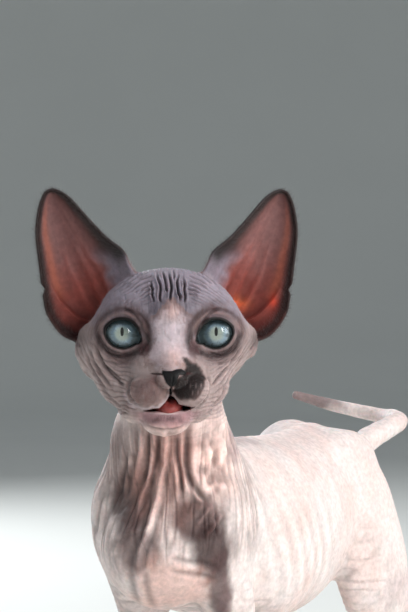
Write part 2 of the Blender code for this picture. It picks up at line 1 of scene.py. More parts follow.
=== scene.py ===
"""The looks of the sphynx kitten: one skin over the whole animal, with its down, eyes, tongue and claws.

The tables are in millimetres. Body forms are in the body's own frame: +X is the kitten's left, -Y is the
way its body faces, +Z is up, and the floor is at Z = 0. Head forms are in the head's frame: its origin
lies midway between the eyeballs' centres, -Y is the way the face looks, and +X is the kitten's left.
The skin is a distance field: a function that gives how far a point lies outside the flesh. It is meshed,
made finer on the head and face, and then the folds are drawn in.
"""
from math import cos, pi, radians, sin

import bmesh
import bpy
import numpy as np
import openvdb
from mathutils import Matrix, Vector
from mathutils.bvhtree import BVHTree


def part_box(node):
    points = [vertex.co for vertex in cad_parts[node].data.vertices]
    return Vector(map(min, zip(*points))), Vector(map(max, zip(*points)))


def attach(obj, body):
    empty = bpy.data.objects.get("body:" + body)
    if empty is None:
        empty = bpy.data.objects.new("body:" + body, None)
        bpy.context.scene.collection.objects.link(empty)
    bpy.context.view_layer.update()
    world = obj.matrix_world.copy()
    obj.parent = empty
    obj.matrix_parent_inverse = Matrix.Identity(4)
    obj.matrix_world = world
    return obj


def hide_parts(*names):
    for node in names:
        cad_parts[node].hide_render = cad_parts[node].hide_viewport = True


MM = 0.001

HEAD_AT = (21.6, -45.3, 203.7)
HEAD_TURN = 34.0

# The torso's stations along Y: place, height of the middle, half width, half height.
TORSO = [
    (-39, 117, 4, 5), (-37, 117, 10.5, 12), (-32, 118, 18, 18.5), (-20, 121, 26.5, 28),
    (0, 123.5, 29.5, 33.5), (25, 121, 31, 37.5), (50, 117.5, 33, 40), (75, 117, 32.5, 40),
    (95, 119.5, 29.5, 39), (112, 124, 26.5, 36.5), (130, 129, 24, 27.5), (144, 131, 18, 17.5),
    (152, 132, 9, 9),
]

# Stations of the round forms: centre, half width across, half width fore and aft.
NECK = [
    (0, 6, 122, 28, 27), (0.3, -4, 142, 29.5, 27), (3.4, -13, 160, 25.6, 23), (7.4, -20, 176, 20.1, 19.5),
    (8, -24, 194, 17, 17),
]
FORELEG = [
    (21, -10, 136, 10.5, 15), (21.5, -8, 122, 11, 16.5), (20.5, -3, 106, 10.8, 14.5),
    (20.3, 3, 91, 10.6, 12), (20, 3, 74, 8.8, 9.4), (20, 1, 55, 7.2, 7.6), (20, -1, 34, 6.5, 6.6),
    (20.3, -4, 20, 7, 7.2), (20.5, -8, 11, 8.2, 8.5),
]
HIND_LEG_BACK = [
    (14, 122, 138, 12, 20), (18, 127, 124, 13.5, 23), (21, 130, 106, 13.5, 27),
    (23.5, 135, 88, 12.3, 26.5), (24.5, 145, 73, 10.3, 17), (24, 157, 60, 8, 10.8),
    (23, 169, 49, 6.2, 7.8), (22, 177, 39, 5.6, 6.6), (22, 175, 25, 5.2, 5.4), (22, 171, 13, 6.2, 6.2),
    (22, 165, 9, 7.4, 6.6),
]
HIND_LEG_FORWARD = [
    (14, 120, 138, 12, 20), (18, 121, 124, 13.5, 23), (21, 117, 106, 13.5, 23.5),
    (23.5, 110, 88, 12, 18.5), (24, 106, 75, 10, 13.5), (23.5, 117, 61, 8, 10.5),
    (22.5, 131, 51, 6.2, 7.8), (22, 141, 42, 5.6, 6.6), (22, 140, 27, 5.2, 5.4),
    (22, 137, 14, 6.2, 6.2), (22, 131, 9, 7.4, 6.6),
]
TAIL = [
    (0, 140, 136, 8.5, 8.5), (2, 153, 143, 6.9, 6.9), (5, 168, 150, 6, 6), (8, 185, 155, 5.3, 5.3),
    (6, 199, 157, 4.8, 4.8), (-5, 209, 158, 4.3, 4.3), (-20, 213, 160, 3.9, 3.9),
    (-38, 211, 163.5, 3.4, 3.4), (-54, 206, 168, 2.5, 2.5),
]

# Ellipsoids: centre, radii, and a turn about X and about Y in degrees where there is one. All but the hips
# are mirrored where they lie off the middle.
BODY_LUMPS = [
    ((15, 4, 141), (8, 17, 15), 20, 0),
    ((19.5, -12, 131), (11, 15, 21)),
    ((19, 40, 108), (15, 30, 26)),
]
HIPS = [((13, 121, 145), (11, 24, 12)), ((-13, 119, 147), (12, 25, 14.5))]
HEAD_LUMPS = [
    ((0, 15.5, 3.5), (28.5, 31, 19.7)),
    ((0, 4, 6), (25, 18, 18.5)),
    ((20, 6, -4), (12, 15, 13)),
    ((20.5, 19, -7), (14, 15, 15), 0, 12),
    ((24.6, 16, -8.8), (10, 13, 9)),
    ((16, -1.5, 8), (9, 9, 5.5)),
    ((15.5, 6, -15.5), (13, 16, 11), 0, 25),
    ((12, 1, -21), (11, 14, 9), 0, 25),
    ((0, -5, -2), (11, 12, 15), 25, 0),
    ((0, -11, -11), (10.5, 12, 9), 20, 0),
    ((8.5, -9, -15), (8, 9.5, 9)),
    ((0, 22, -12), (20, 20, 19)),
]
MUZZLE_LUMPS = [
    ((0, -19, -14.4), (6.6, 8, 5.4), 30, 0),
    ((8.4, -17, -22), (8.1, 8.8, 6.7)),
    ((0, -9, -28), (12, 12.5, 7)),
    ((9, -3, -27.5), (9.5, 13, 7.5), 0, 15),
    ((0, -11.5, -33), (9.6, 9, 6.4)),
    ((8, 8, -25), (10, 15, 9), 0, 20),
]
SKULL_MIDDLE = (0, 12, 8)
HEAD_REACH = 88

# Below a height the face leans to the kitten's right, by a share of the way down.
LEAN_FROM = -13
LEAN = 0.09

# The left cheek is drawn in: by how much, at what height, how far up and down, and from where to where
# across, which moves out with height by a share.
LEFT_CHEEK = 4.6
CHEEK_HEIGHT = -15
CHEEK_REACH = 9
CHEEK_ACROSS = (14, 26)
CHEEK_SLANT = 0.7

# Paws: the pad's centre and radii, then each toe's place across and ahead, and its half length.
PAW_PAD = ((0, -1, 7.4), (8.8, 11, 7.8))
TOES = [(-7, -8.5, 7), (-2.5, -12, 7.8), (2.5, -12, 7.8), (7, -8.5, 7)]
TOE_SIZE = (3.7, 5)
TOE_MIDDLE = 4.2
PAW_TURN = 6.0
PAWS = {
    "fore_left": (1, 20.5, -9), "fore_right": (-1, 20.5, -9),
    "hind_left": (1, 22, 163), "hind_right": (-1, 22, 129),
}

# Eyes: the left eyeball's centre and radius, how thick the lids are, how far both eyes are turned to the
# kitten's left and set ahead, how near its centre the opening is cut, and the lids' opening as angles
# from the outer side and reaches.
EYE_AT = (17.75, 0, -0.9)
EYE_RADIUS = 8.7
LID = 1.6
EYE_TURN = -4.0
EYE_AHEAD = 0.7
EYE_FLOOR = 4.5
EYE_OPENING = [
    (0, 6), (25, 6.1), (45, 5.65), (65, 5.4), (90, 5.3), (115, 5.5), (140, 5.75), (165, 6.1), (183, 6.9),
    (197, 7.6), (206, 7.4), (216, 6.1), (235, 5.4), (255, 5.1), (270, 4.95), (293, 4.9), (313, 5.1),
    (337, 5.4), (360, 6),
]

# The clear dome's rise and edge, the iris's depth and swell, and the pupil's half width and half height.
CORNEA_EDGE = 0.72
CORNEA_RISE = 0.045
DOME_ANGLE = 50.0
IRIS_DEPTH = 0.3
IRIS_SWELL = 0.6
PUPIL = (0.62, 1.7)
PUPIL_UP = 0.9

# A claw: its radius at the root, how flat it is, its sides, and its hook from inside the toe's tip as places
# ahead, up and the size there.
CLAW_RADIUS = 0.9
CLAW_FLATNESS = 0.7
CLAW_SIDES = 10
CLAW_HOOK = [(4.4, 1.9, 1), (1.8, 2.1, 0.9), (0.2, 1.6, 0.65), (-0.9, 0.2, 0.3)]

# The mouth from the front: the opening between the lips, and the lips' line out to its corners.
MOUTH_OPENING = [
    (0.1, -23.4), (1.7, -24), (2.8, -25.3), (3.7, -26.7), (5.8, -27.2), (7.5, -27.6), (8.4, -27.9),
    (7.6, -28.7), (6.2, -29.2), (4.4, -29.1), (2.5, -29.5), (-0.5, -29.9), (-3.7, -29.4), (-6.6, -29.3),
    (-7.3, -29), (-5.9, -28.4), (-3.5, -28.1), (-2.5, -27.1), (-1.3, -25.7), (-0.4, -24.2),
]
LIP_LINE = [
    (0, -28.4), (8, -28), (9.6, -27.7), (9.6, -27.9), (8, -28.5),
    (0, -29), (-7, -29.3), (-8.8, -29.2), (-8.8, -29.1), (-7, -28.9),
]
MOUTH_BACK = -12
LIPS_BACK = -4
TONGUE = ((0.5, -11.8, -28.6), (5.4, 9.2, 4.5))
NOSE = ((0, -24.2, -17.2), (5.8, 3.5, 3.9))

# Ears: the edge nearer the crown and the outer edge, each from the root to the tip, for the left ear.
EAR_INNER_EDGE = [
    (10, 8, 16), (14.9, 7, 24.6), (17.6, 8, 30.5), (23.9, 10.5, 35.8),
    (30.5, 13.5, 42.8), (37.5, 17, 50.8), (41.5, 18.6, 53.8), (44.4, 19.5, 54.9),
]
EAR_OUTER_EDGE = [
    (31.5, 19, -4.3), (40, 19.5, -1.4), (45.8, 18.5, 6), (47.6, 18, 13),
    (49.3, 18, 26), (50.6, 18.5, 38), (49.6, 19.2, 47.5), (47.4, 19.4, 53.4), (44.4, 19.5, 54.9),
]

# How deep the cup is along the ear, and the number of points along and across its sheet.
EAR_CUP = [(0, 15), (0.25, 13), (0.5, 9), (0.75, 5), (1, 0.6)]
EAR_ROWS = 72
EAR_COLUMNS = 48
EAR_THICKNESS = 0.62
EAR_ROOT_THICKER = 0.5

# The notch in the outer edge, the canal, and the ridge that runs from the brow to the cup's outer root.
EAR_NOTCH = ((49.6, 18, 16), (1.7, 8, 1.5))
EAR_CANAL = ((29, 15, 3), (9, 8, 12), 0, -20)
EAR_FRONT = [
    (16, 2, -3.5, 8, 8), (24, 8, -2.2, 7, 7), (29.5, 12.5, -1.6, 5.2, 5.2), (32, 15, -4, 3.4, 3.4),
    (32.4, 15.4, -7.6, 2.4, 2.4),
]

# Folds of the face from the front: half width, depth and the line. The first are drawn once, the others on
# both sides.
FACE_FOLDS = [
    (0.36, 0.9, [(-7.3, 19.3), (-7.5, 17.7), (-7, 16), (-7.2, 14), (-6.7, 12.2), (-6.6, 10.8)]),
    (0.38, 1.1, [(-5, 23.4), (-4.8, 20.1), (-4.2, 18.1), (-4, 16), (-4.3, 14), (-4.4, 12.4), (-4, 10.6)]),
    (0.36, 0.9, [(-2.8, 23.6), (-2.4, 20.8), (-2, 18.1), (-1.8, 16), (-1.3, 14.8)]),
    (0.38, 1.1, [(-0.6, 23.6), (-0.3, 20.6), (0, 18.3), (0.1, 16.4), (-0.4, 14), (-0.5, 13), (-0.8, 11.4)]),
    (0.36, 1.2, [(3.4, 22.6), (2.4, 19.3), (2.4, 17.5), (2.5, 16), (2.7, 14.4), (3.2, 13.2), (2.9, 11)]),
    (0.36, 1.0, [(4.6, 21), (5.2, 17.7), (4.9, 16), (5.2, 13.2), (4.7, 10.2)]),
    (0.4, 0.5, [(1.3, 23.6), (1.5, 21.8), (1.1, 19.6)]),
    (0.5, 0.5, [(-8.6, -34), (-4.6, -35.6), (-0.3, -36.2), (4, -35.8), (7.4, -34)]),
    (0.35, 1.0, [(-0.1, -20.2), (0.3, -22.2), (0.4, -24)]),
]
FACE_SIDE_FOLDS = [
    (0.3, 0.55, [(6, 16.2), (7.4, 15.9), (9.2, 15.4), (10.8, 14.2)]),
    (0.3, 0.45, [(6, 14.4), (7.4, 14.2), (9, 13.9), (10.4, 13)]),
    (0.3, 0.55, [(6.2, 17.8), (8, 17.3), (10, 16.5), (12.4, 14.8)]),
    (0.3, 0.5, [(6.6, 19.4), (9, 18.8), (12, 17.6), (15, 15.4)]),
    (0.3, 0.5, [(6.6, 21.4), (8.6, 20.6), (11.6, 19.4), (15.2, 16.8)]),
    (0.3, 0.4, [(8.6, 22.6), (11.4, 21.6), (14.2, 19.6), (16.4, 17.6)]),
    (0.3, 0.35, [(11.6, 22.8), (14, 21.4), (16.4, 19.4), (18.4, 17)]),
    (0.6, 0.8, [(28.6, -3.4), (26.6, -9.6), (23.4, -14.6), (19.6, -18), (16, -21.2)]),
    (0.45, 0.7, [(24.6, -12.4), (20.9, -15.6), (17.6, -18.2)]),
    (0.5, 0.6, [(30.6, -5.1), (28.8, -11.4), (25.6, -16), (20.6, -22)]),
    (0.5, 0.6, [(31.8, -7), (30, -13), (26.6, -18), (21.8, -24)]),
    (0.5, 0.5, [(25.8, -20.4), (21.6, -25), (17, -28.4)]),
    (0.45, 0.4, [(22.6, -25.6), (18.6, -29), (14, -31)]),
    (0.5, 0.6, [(13.2, -15.8), (15.2, -18.6), (15.4, -22.6), (12.8, -26.4), (10, -28.3)]),
    (0.55, 0.6, [(19.1, 8.5), (17.3, 8.5), (15.3, 7.4), (13.6, 6), (12.4, 4.5), (11.3, 2.8), (10.8, 0.6)]),
    (0.45, 0.6, [(25.5, -5.5), (24.2, -7.3), (22.9, -8.5), (20.9, -9.1), (18.8, -9.1),
                 (16, -8.6), (13, -7.6)]),
    (0.45, 0.35, [(26.6, -9.4), (23.6, -11.3), (20, -12), (16.6, -11.4)]),
    (0.5, 0.35, [(10.6, -4.9), (10.8, -6.4), (11.2, -8)]),
]

# Folds of the throat and chest, seen from 30 degrees to the kitten's left of its front: half width,
# depth, and the line as places across and heights. A fold with a depth below zero stands out.
CHEST_FOLDS = [
    (1.1, -1.7, [(-5.6, 170), (-5.9, 162.7), (-6.2, 153), (-7.8, 146), (-9.3, 137.7), (-12.1, 128),
                 (-15.6, 118.8), (-17, 110)]),
    (1.0, -1.3, [(-15.4, 170), (-15.2, 158), (-15.8, 155), (-17.3, 147), (-19, 140)]),
    (0.9, -1.0, [(-10, 152), (-13, 143.9), (-15.6, 137.7), (-17, 131)]),
    (0.9, -1.0, [(-4, 158), (-2.6, 151), (-1.6, 143.9), (-1.8, 136)]),
    (1.1, 1.5, [(2.6, 170), (2.6, 158.5), (2.4, 151.6), (3.6, 145.9), (6.4, 141.5), (10, 138)]),
    (0.8, -0.8, [(4.6, 146), (6, 140), (9, 136.6)]),
    (0.8, 1.0, [(-12.6, 168), (-12.6, 158), (-13.2, 150), (-15, 142)]),
    (0.8, 1.0, [(-8.6, 166), (-9, 156), (-11, 148), (-12.6, 140)]),
    (0.8, 0.9, [(-1, 166), (-1.2, 156), (0.2, 147), (0.6, 139)]),
    (0.8, 0.8, [(-21, 158), (-22, 150), (-23.4, 143), (-25, 137)]),
    (0.8, -0.8, [(6, 128), (9, 132), (13, 137)]),
    (0.8, -0.8, [(9, 123), (13, 128), (17, 133)]),
    (1.1, 0.5, [(-4.5, 116.5), (3, 114.4), (9, 113.6), (16, 110)]),
    (1.0, 0.4, [(-5, 111), (3, 109.6), (8, 108.6), (15, 106)]),
    (1.5, 0.5, [(-19, 122), (-19.5, 112), (-18.5, 104), (-16, 92)]),
    (1.5, 0.4, [(-14, 112), (-13, 103), (-10, 92)]),
]

# The dark patch on the nose and the kitten's left whisker pad, and the pale blaze, from the front.
DARK_PATCH = [
    (4, -9.5), (5.3, -9.5), (7.3, -11.6), (8.9, -12), (11.3, -14.4), (12.9, -16.3), (12.6, -20),
    (11.7, -22), (10.6, -23.8), (8.9, -24.7), (6.5, -25), (4.4, -24.7), (2.7, -23.9), (0.9, -22),
    (0.9, -19.5), (1.6, -16.5), (3.6, -15.2), (4.4, -13), (4.1, -10.9),
]
BLAZE = [
    (0.3, 11.4), (1.6, 8.7), (3.8, 6.7), (6.5, 4.3), (7.6, 0), (8.2, -5), (6.5, -9.5), (4.5, -13),
    (-4, -13.6), (-8, -12), (-8.4, -6), (-7, -1), (-7.2, 3.5), (-4.3, 6.7), (-1.4, 9.1),
]

# The leather of the nose from the front, and the stations of a nostril: place and half width.
NOSE_LEATHER = [
    (-3.9, -13.8), (-2.7, -14), (-0.3, -14), (1.3, -13.4), (3.1, -13.3), (5, -14.3), (5.4, -15.3),
    (4.1, -15.9), (2.5, -15.7), (2.1, -17.1), (1.9, -18.4), (1.3, -19.5), (0.5, -20.2), (-0.4, -20.2),
    (-1.3, -19.5), (-2.3, -18.4), (-2.9, -17.1), (-3.4, -15.9), (-4, -15),
]
NOSTRIL = [
    (2.6, -28.4, -15.7, 0.45, 0.45), (3.8, -27.4, -15.6, 0.55, 0.55), (5, -25.8, -15.4, 0.5, 0.5),
    (6.3, -23.6, -15.2, 0.4, 0.4), (7.2, -21.4, -14.9, 0.25, 0.25),
]

# Patches seen from the same side: place across, height, reach across and up, colour and amount.
CHEST_PATCHES = [
    (-20, 136, 8, 14, (76, 54, 52), 0.86), (-18, 120, 9, 12, (106, 80, 78), 0.7),
    (7, 131, 11, 8, (96, 70, 68), 0.85), (12, 118, 8, 12, (70, 48, 46), 0.9),
    (15, 103, 4.5, 17, (84, 62, 62), 0.82), (17, 84, 3.4, 24, (124, 98, 98), 0.6),
    (-7, 148, 13, 20, (176, 132, 122), 0.6), (-25, 152, 6, 14, (150, 124, 118), 0.5),
    (-3, 104, 15, 12, (228, 176, 162), 0.5),
]

# Patches that the photo doesn't show: centre, radii, colour and amount.
FAR_PATCHES = [
    ((-30, 60, 128), (18, 30, 20), (150, 128, 130), 0.75),
    ((-18, 132, 112), (16, 20, 26), (140, 116, 118), 0.7),
    ((4, -2, 158), (26, 14, 14), (150, 132, 138), 0.6),
    ((26, 136, 84), (12, 16, 14), (150, 126, 126), 0.4),
    ((-54, 206, 168), (26, 12, 12), (120, 98, 98), 0.8),
    ((0, 30, 160), (14, 26, 10), (170, 148, 148), 0.5),
]

# The middle of the fine folds that arc down each cheek, from the front.
CHEEK_CENTRE = (13.5, 2.3)

# Where the skin gathers at the joints: centre and reach.
JOINT_FOLDS = [
    (20, 6, 92, 13), (-20, 6, 92, 13), (20, -2, 24, 9), (-20, -2, 24, 9), (24, 150, 66, 14),
    (-24, 108, 66, 14), (22, 176, 34, 9), (-22, 141, 34, 9), (26, 112, 96, 14), (-26, 98, 96, 14),
    (12, -6, 96, 14), (-12, -6, 96, 14), (14, 30, 92, 14), (-14, 30, 92, 14),
]

# Colours as they would be on a screen, from 0 to 255.
PALE = (235, 223, 220)
PINK = (228, 184, 172)
ROSE = (206, 156, 146)
PEACH = (250, 212, 202)
LILAC = (148, 139, 152)
SLATE = (84, 78, 88)
GREY = (158, 138, 136)
UMBER = (76, 60, 60)
MAUVE = (92, 68, 70)
PAD = (122, 96, 92)
PATCH_EDGE = (112, 90, 88)
WHISKER_ROOT = (150, 130, 130)
DARK = (26, 17, 16)
BLACK = (9, 7, 8)
BLAZE_PALE = (206, 190, 196)
EAR_BROWN = (126, 88, 86)
EAR_RED = (128, 60, 52)
# Deep red, also painted as shade in the cup's hollows.
EAR_RED_AND_SHADE = (84, 34, 30)
# Painted light in the ears: an orange band, and a glow and a red spot where the lamp behind shines through.
EAR_GLOW = (206, 112, 74)
EAR_BACKLIGHT = (255, 130, 76)
EAR_BACKLIGHT_SPOT = (240, 84, 60)
EAR_RIM = (26, 15, 14)
EAR_BACK = (136, 114, 116)
MOUTH_RED = (96, 26, 28)
NOSTRIL_RED = (52, 16, 16)
LIP = (176, 132, 138)
TONGUE_RED = (150, 66, 62)
LID_SKIN = (118, 96, 92)
# Dark brown of the upper lid's margin, also painted as shade in the crease above it.
LID_CREASE = (58, 34, 32)
LID_SHADE = (40, 25, 26)
EYE_CORNER = (72, 44, 46)
IRIS_BLUE = (172, 204, 226)
IRIS_PALE = (226, 240, 242)
IRIS_GREEN = (178, 184, 160)
IRIS_DEEP = (84, 112, 122)
EYE_WHITE = (60, 46, 44)
HORN = (214, 186, 172)
FLOOR = (226, 228, 224)

# Lights: name, azimuth as the camera's, elevation, distance, width, height, power in watts, colour.
LIGHTS = [
    ("key", 68, 22, 1.0, 0.16, 0.4, 4, (1.0, 0.99, 0.98)),
    ("side", 92, 16, 1.2, 0.5, 0.5, 5.5, (1.0, 0.98, 0.96)),
    ("back_right", 122, 34, 1.3, 0.5, 0.5, 6.5, (1.0, 0.97, 0.95)),
    ("front", 2, 40, 1.8, 1.2, 1.2, 5.5, (0.94, 0.97, 1.0)),
    ("rim_left", -120, 22, 1.4, 0.5, 0.5, 14, (0.95, 0.97, 1.0)),
]
WORLD_STRENGTH = 0.32
WORLD_COLOUR = (0.84, 0.9, 1.0, 1)

# The camera: its azimuth in degrees, its lens, and its place back, to the right and up in metres.
VIEW_TURN = 30.0
LENS = 116.1
CAMERA_BACK = 0.75
CAMERA_RIGHT = 0.0131
CAMERA_UP = 0.0097

# The skin lies inside the solids by its depth. Then come the down, and the grid that the skin is meshed on.
# A form counts within NEAR of its box, FAR is a distance beyond all forms, and the field is first worked
# out for blocks of COARSE voxels a side. The blends say how softly forms run together.
SKIN_DEPTH = 0.35
DOWN_COUNT = 60000
DOWN_WIDTH = 0.035
DOWN_SPREAD = [(0, 0), (1, 0), (1, 0.5), (0, 0.5), (0.5, 1)]
DOWN_SPOT = 0.003
FAR = 1000.0
NEAR = 14.0
SKIN_LOW = (-66, -102, -2.4)
SKIN_HIGH = (66, 222, 264)
VOXEL = 0.8
COARSE = 4
BODY_BLEND = 6.0
SKULL_BLEND = 4.5
MUZZLE_BLEND = 2.2
LID_BLEND = 2.0
TOE_BLEND = 1.2
EAR_BLEND = 3.0
CARVE_BLEND = 0.6


def smooth_min(a, b, blend):
    """The lesser of two distances, run together where they are close."""
    share = np.clip(0.5 + 0.5 * (b - a) / blend, 0, 1)
    return b + (a - b) * share - blend * share * (1 - share)


def carve(field, hole, blend=CARVE_BLEND):
    """Takes a hole out of a form, with its edge rounded."""
    return -smooth_min(-field, hole, blend)


def carve_all(field, points, forms, blend):
    for _, _, distance in forms:
        field = carve(field, distance(points), blend)
    return field


def ramp(value, low, high):
    """From 0 at low to 1 at high, with soft ends."""
    t = np.clip((value - low) / (high - low), 0, 1)
    return t * t * (3 - 2 * t)


def spline(points, count):
    """Points spread evenly by number along a smooth curve through the given ones."""
    points = np.array(points, float)
    knots = np.concatenate([[2 * points[0] - points[1]], points, [2 * points[-1] - points[-2]]])
    at = np.linspace(0, len(points) - 1, count)
    first = np.minimum(at.astype(int), len(points) - 2)
    t = (at - first)[:, None]
    a, b, c, d = (knots[first + k] for k in range(4))
    bend = 2 * a - 5 * b + 4 * c - d
    return 0.5 * (2 * b + (c - a) * t + bend * t**2 + (3 * b - a - 3 * c + d) * t**3)


def rotation(degrees, axis):
    return np.array(Matrix.Rotation(radians(degrees), 3, axis))


def to_frame(points, origin, turn):
    """Points as seen from a frame that stands at an origin and is turned about Z."""
    return (points - np.array(origin)) @ rotation(turn, "Z")


def from_frame(points, origin, turn):
    return points @ rotation(turn, "Z").T + np.array(origin)


def in_head(points):
    return to_frame(points, HEAD_AT, HEAD_TURN)


def from_head(points):
    return from_frame(points, HEAD_AT, HEAD_TURN)


def lengths(vectors):
    return np.linalg.norm(vectors, axis=1)


def about_skull(head, reach=HEAD_REACH):
    """Which points of the head's frame are within a reach of the skull's middle."""
    return lengths(head - SKULL_MIDDLE) < reach


def head_part(points):
    """Which points of the body's frame are about the head, and their places in its frame."""
    head = in_head(points)
    chosen = np.flatnonzero(about_skull(head))
    return chosen, head[chosen]


def on_left(head):
    """Points of the head's frame, with those on its right at their mirror places."""
    return np.column_stack([np.abs(head[:, 0]), head[:, 1:]])


def rounded(local, radii):
    """The distance to an ellipsoid, close to true near its surface."""
    depth = lengths(local / radii)
    slope = lengths(local / radii**2)
    return depth * (depth - 1) / np.maximum(slope, 1e-6)


def ellipsoid(centre, radii, turn_x=0, turn_y=0):
    """An ellipsoid as a box that holds it and its distance."""
    centre, radii = np.array(centre, float), np.array(radii, float)
    turn = rotation(turn_y, "Y") @ rotation(turn_x, "X")
    reach = radii.max()
    return centre - reach, centre + reach, lambda points: rounded((points - centre) @ turn, radii)


def pair(centre, radii, turn_x=0, turn_y=0):
    """An ellipsoid, and its mirror image where it lies off the middle."""
    made = [ellipsoid(centre, radii, turn_x, turn_y)]
    if centre[0]:
        made.append(ellipsoid((-centre[0], *centre[1:]), radii, turn_x, -turn_y))
    return made


def pairs(lumps):
    return [form for lump in lumps for form in pair(*lump)]


def limb(stations, side=1, steps=8):
    """Ellipses square to a smooth line through the stations, rounded off at both ends."""
    rows = spline(stations, (len(stations) - 1) * steps + 1)
    rows[:, 0] *= side
    centres, sizes = rows[:, :3], rows[:, 3:]
    tangents = np.gradient(centres, axis=0)
    growth = np.gradient(sizes, axis=0)
    along = np.cross(tangents, (1, 0, 0))
    along /= lengths(along)[:, None]
    across = np.cross(along, tangents)
    across /= lengths(across)[:, None]
    ahead = tangents / lengths(tangents)[:, None]
    square = (tangents**2).sum(axis=1)

    def distance(points):
        apart = (centres**2).sum(axis=1) - 2 * points @ centres.T
        k = apart.argmin(axis=1)
        offset = points - centres[k]
        inner = (k > 0) & (k < len(rows) - 1)
        t = np.where(inner, (offset * tangents[k]).sum(axis=1) / square[k], 0)
        t = np.clip(t, -0.6, 0.6)[:, None]
        offset = offset - tangents[k] * t
        radii = sizes[k] + growth[k] * t
        local = np.stack([(offset * axis[k]).sum(axis=1) for axis in (across, along, ahead)], axis=1)
        return rounded(local, np.column_stack([radii, radii.min(axis=1)]))

    reach = sizes.max(axis=1)[:, None]
    return (centres - reach).min(axis=0), (centres + reach).max(axis=0), distance


def torso():
    """Upright ellipses along the body."""
    rows = spline(TORSO, (len(TORSO) - 1) * 8 + 1)

    def distance(points):
        middle, width, height = (np.interp(points[:, 1], rows[:, 0], rows[:, k]) for k in (1, 2, 3))
        local = np.column_stack([points[:, 0], points[:, 2] - middle])
        side = rounded(local, np.column_stack([width, height]))
        end = np.maximum(rows[0, 0] - points[:, 1], points[:, 1] - rows[-1, 0])
        outside = np.hypot(np.maximum(side, 0), np.maximum(end, 0))
        return outside + np.minimum(np.maximum(side, end), 0)

    widest, tallest = rows[:, 2].max(), rows[:, 3].max()
    low = np.array((-widest, rows[0, 0], rows[:, 1].min() - tallest))
    high = np.array((widest, rows[-1, 0], rows[:, 1].max() + tallest))
    return low, high, distance


def run_together(points, forms, blend):
    """The distance to several forms with soft joins. Each is worked out only near its own box."""
    field = np.full(len(points), FAR)
    for low, high, distance in forms:
        near = np.all((points > low - NEAR) & (points < high + NEAR), axis=1)
        if near.any():
            field[near] = smooth_min(field[near], distance(points[near]), blend)
    return field


def polygon(x, z, corners):
    """The distance to a flat outline, below zero inside."""
    best, inside = np.full(len(x), FAR), np.zeros(len(x), bool)
    for (x0, z0), (x1, z1) in zip(corners, corners[1:] + corners[:1]):
        run, rise = x1 - x0, z1 - z0
        t = np.clip(((x - x0) * run + (z - z0) * rise) / (run**2 + rise**2), 0, 1)
        best = np.minimum(best, np.hypot(x - x0 - run * t, z - z0 - rise * t))
        if rise:
            inside ^= ((z0 > z) != (z1 > z)) & (x < run * (z - z0) / rise + x0)
    return np.where(inside, -best, best)


def paw_frame(paw):
    """Where a paw stands, and how far it is turned out."""
    side, x, y = PAWS[paw]
    return (side * x, y, 0), side * PAW_TURN


def paw_field(points):
    """The pad and toes of one paw, in the paw's frame."""
    toes = [ellipsoid((x, y, TOE_MIDDLE), (TOE_SIZE[0], length, TOE_SIZE[1]), 5) for x, y, length in TOES]
    return smooth_min(run_together(points, toes, TOE_BLEND), ellipsoid(*PAW_PAD)[2](points), 2 * TOE_BLEND)


class Ear:
    """The cupped sheet of the left ear. The right one is its mirror image."""

    def __init__(self):
        inner, outer = spline(EAR_INNER_EDGE, EAR_ROWS), spline(EAR_OUTER_EDGE, EAR_ROWS)
        places, depths = np.array(EAR_CUP).T
        cup = np.interp(np.linspace(0, 1, EAR_ROWS), places, depths)[:, None]
        share = np.linspace(0, 1, EAR_COLUMNS)[None, :]
        sheet = inner[:, None] + (outer - inner)[:, None] * share[..., None]
        sheet[..., 1] += cup * np.sin(pi * share) ** 0.8
        self.sheet = sheet.reshape(-1, 3)
        start = (np.arange(EAR_ROWS - 1)[:, None] * EAR_COLUMNS + np.arange(EAR_COLUMNS - 1)).ravel()
        self.quads = start[:, None] + np.array((0, 1, EAR_COLUMNS + 1, EAR_COLUMNS))
        self.tree = BVHTree.FromPolygons(self.sheet.tolist(), self.quads.tolist())
        self.low, self.high = self.sheet.min(axis=0), self.sheet.max(axis=0)

    def nearest(self, points):
        """How far the points are from the sheet, their places on it, and which side they are on.
        Along goes from 0 at the root to 1 at the tip, across from 0 at the inner edge to 1 at the outer."""
        found = [self.tree.find_nearest(point) for point in points.tolist()]
        spot, normal, quad, away = (np.array(item) for item in zip(*found))
        first, second, _, fourth = self.sheet[self.quads[quad]].transpose(1, 0, 2)
        step_across, step_along = second - first, fourth - first
        offset = spot - first
        share = [
            np.clip((offset * step).sum(axis=1) / np.maximum((step**2).sum(axis=1), 1e-6), 0, 1)
            for step in (step_across, step_along)
        ]
        across = (quad % (EAR_COLUMNS - 1) + share[0]) / (EAR_COLUMNS - 1)
        along = (quad // (EAR_COLUMNS - 1) + share[1]) / (EAR_ROWS - 1)
        front = ((points - spot) * normal).sum(axis=1) * np.sign(-normal[:, 1])
        return away, along, across, front

    def distance(self, head):
        """The distance to the sheets of both ears, which are thickest at their roots."""
        points = on_left(head)
        field = np.full(len(points), FAR)
        near = np.all((points > self.low - 6) & (points < self.high + 6), axis=1)
        if near.any():
            away, along, _, _ = self.nearest(points[near])
            field[near] = away - (EAR_THICKNESS + EAR_ROOT_THICKER * np.exp(-along / 0.15))
        return field


def eye_frame(side):
    """An eyeball's centre in the head's frame, and its turn about Z."""
    x, y, z = EYE_AT
    return (side * x, y, z), EYE_TURN


def eye_polar(head, side):
    """Points about an eye: local place, distance from its axis, and how far outside the lids' opening."""
    local = to_frame(head, *eye_frame(side))
    reach = np.hypot(local[:, 0], local[:, 2])
    angle = np.degrees(np.arctan2(local[:, 2], side * local[:, 0])) % 360
    angles, reaches = np.array(EYE_OPENING, float).T
    return local, reach, reach - np.interp(angle, angles, reaches)


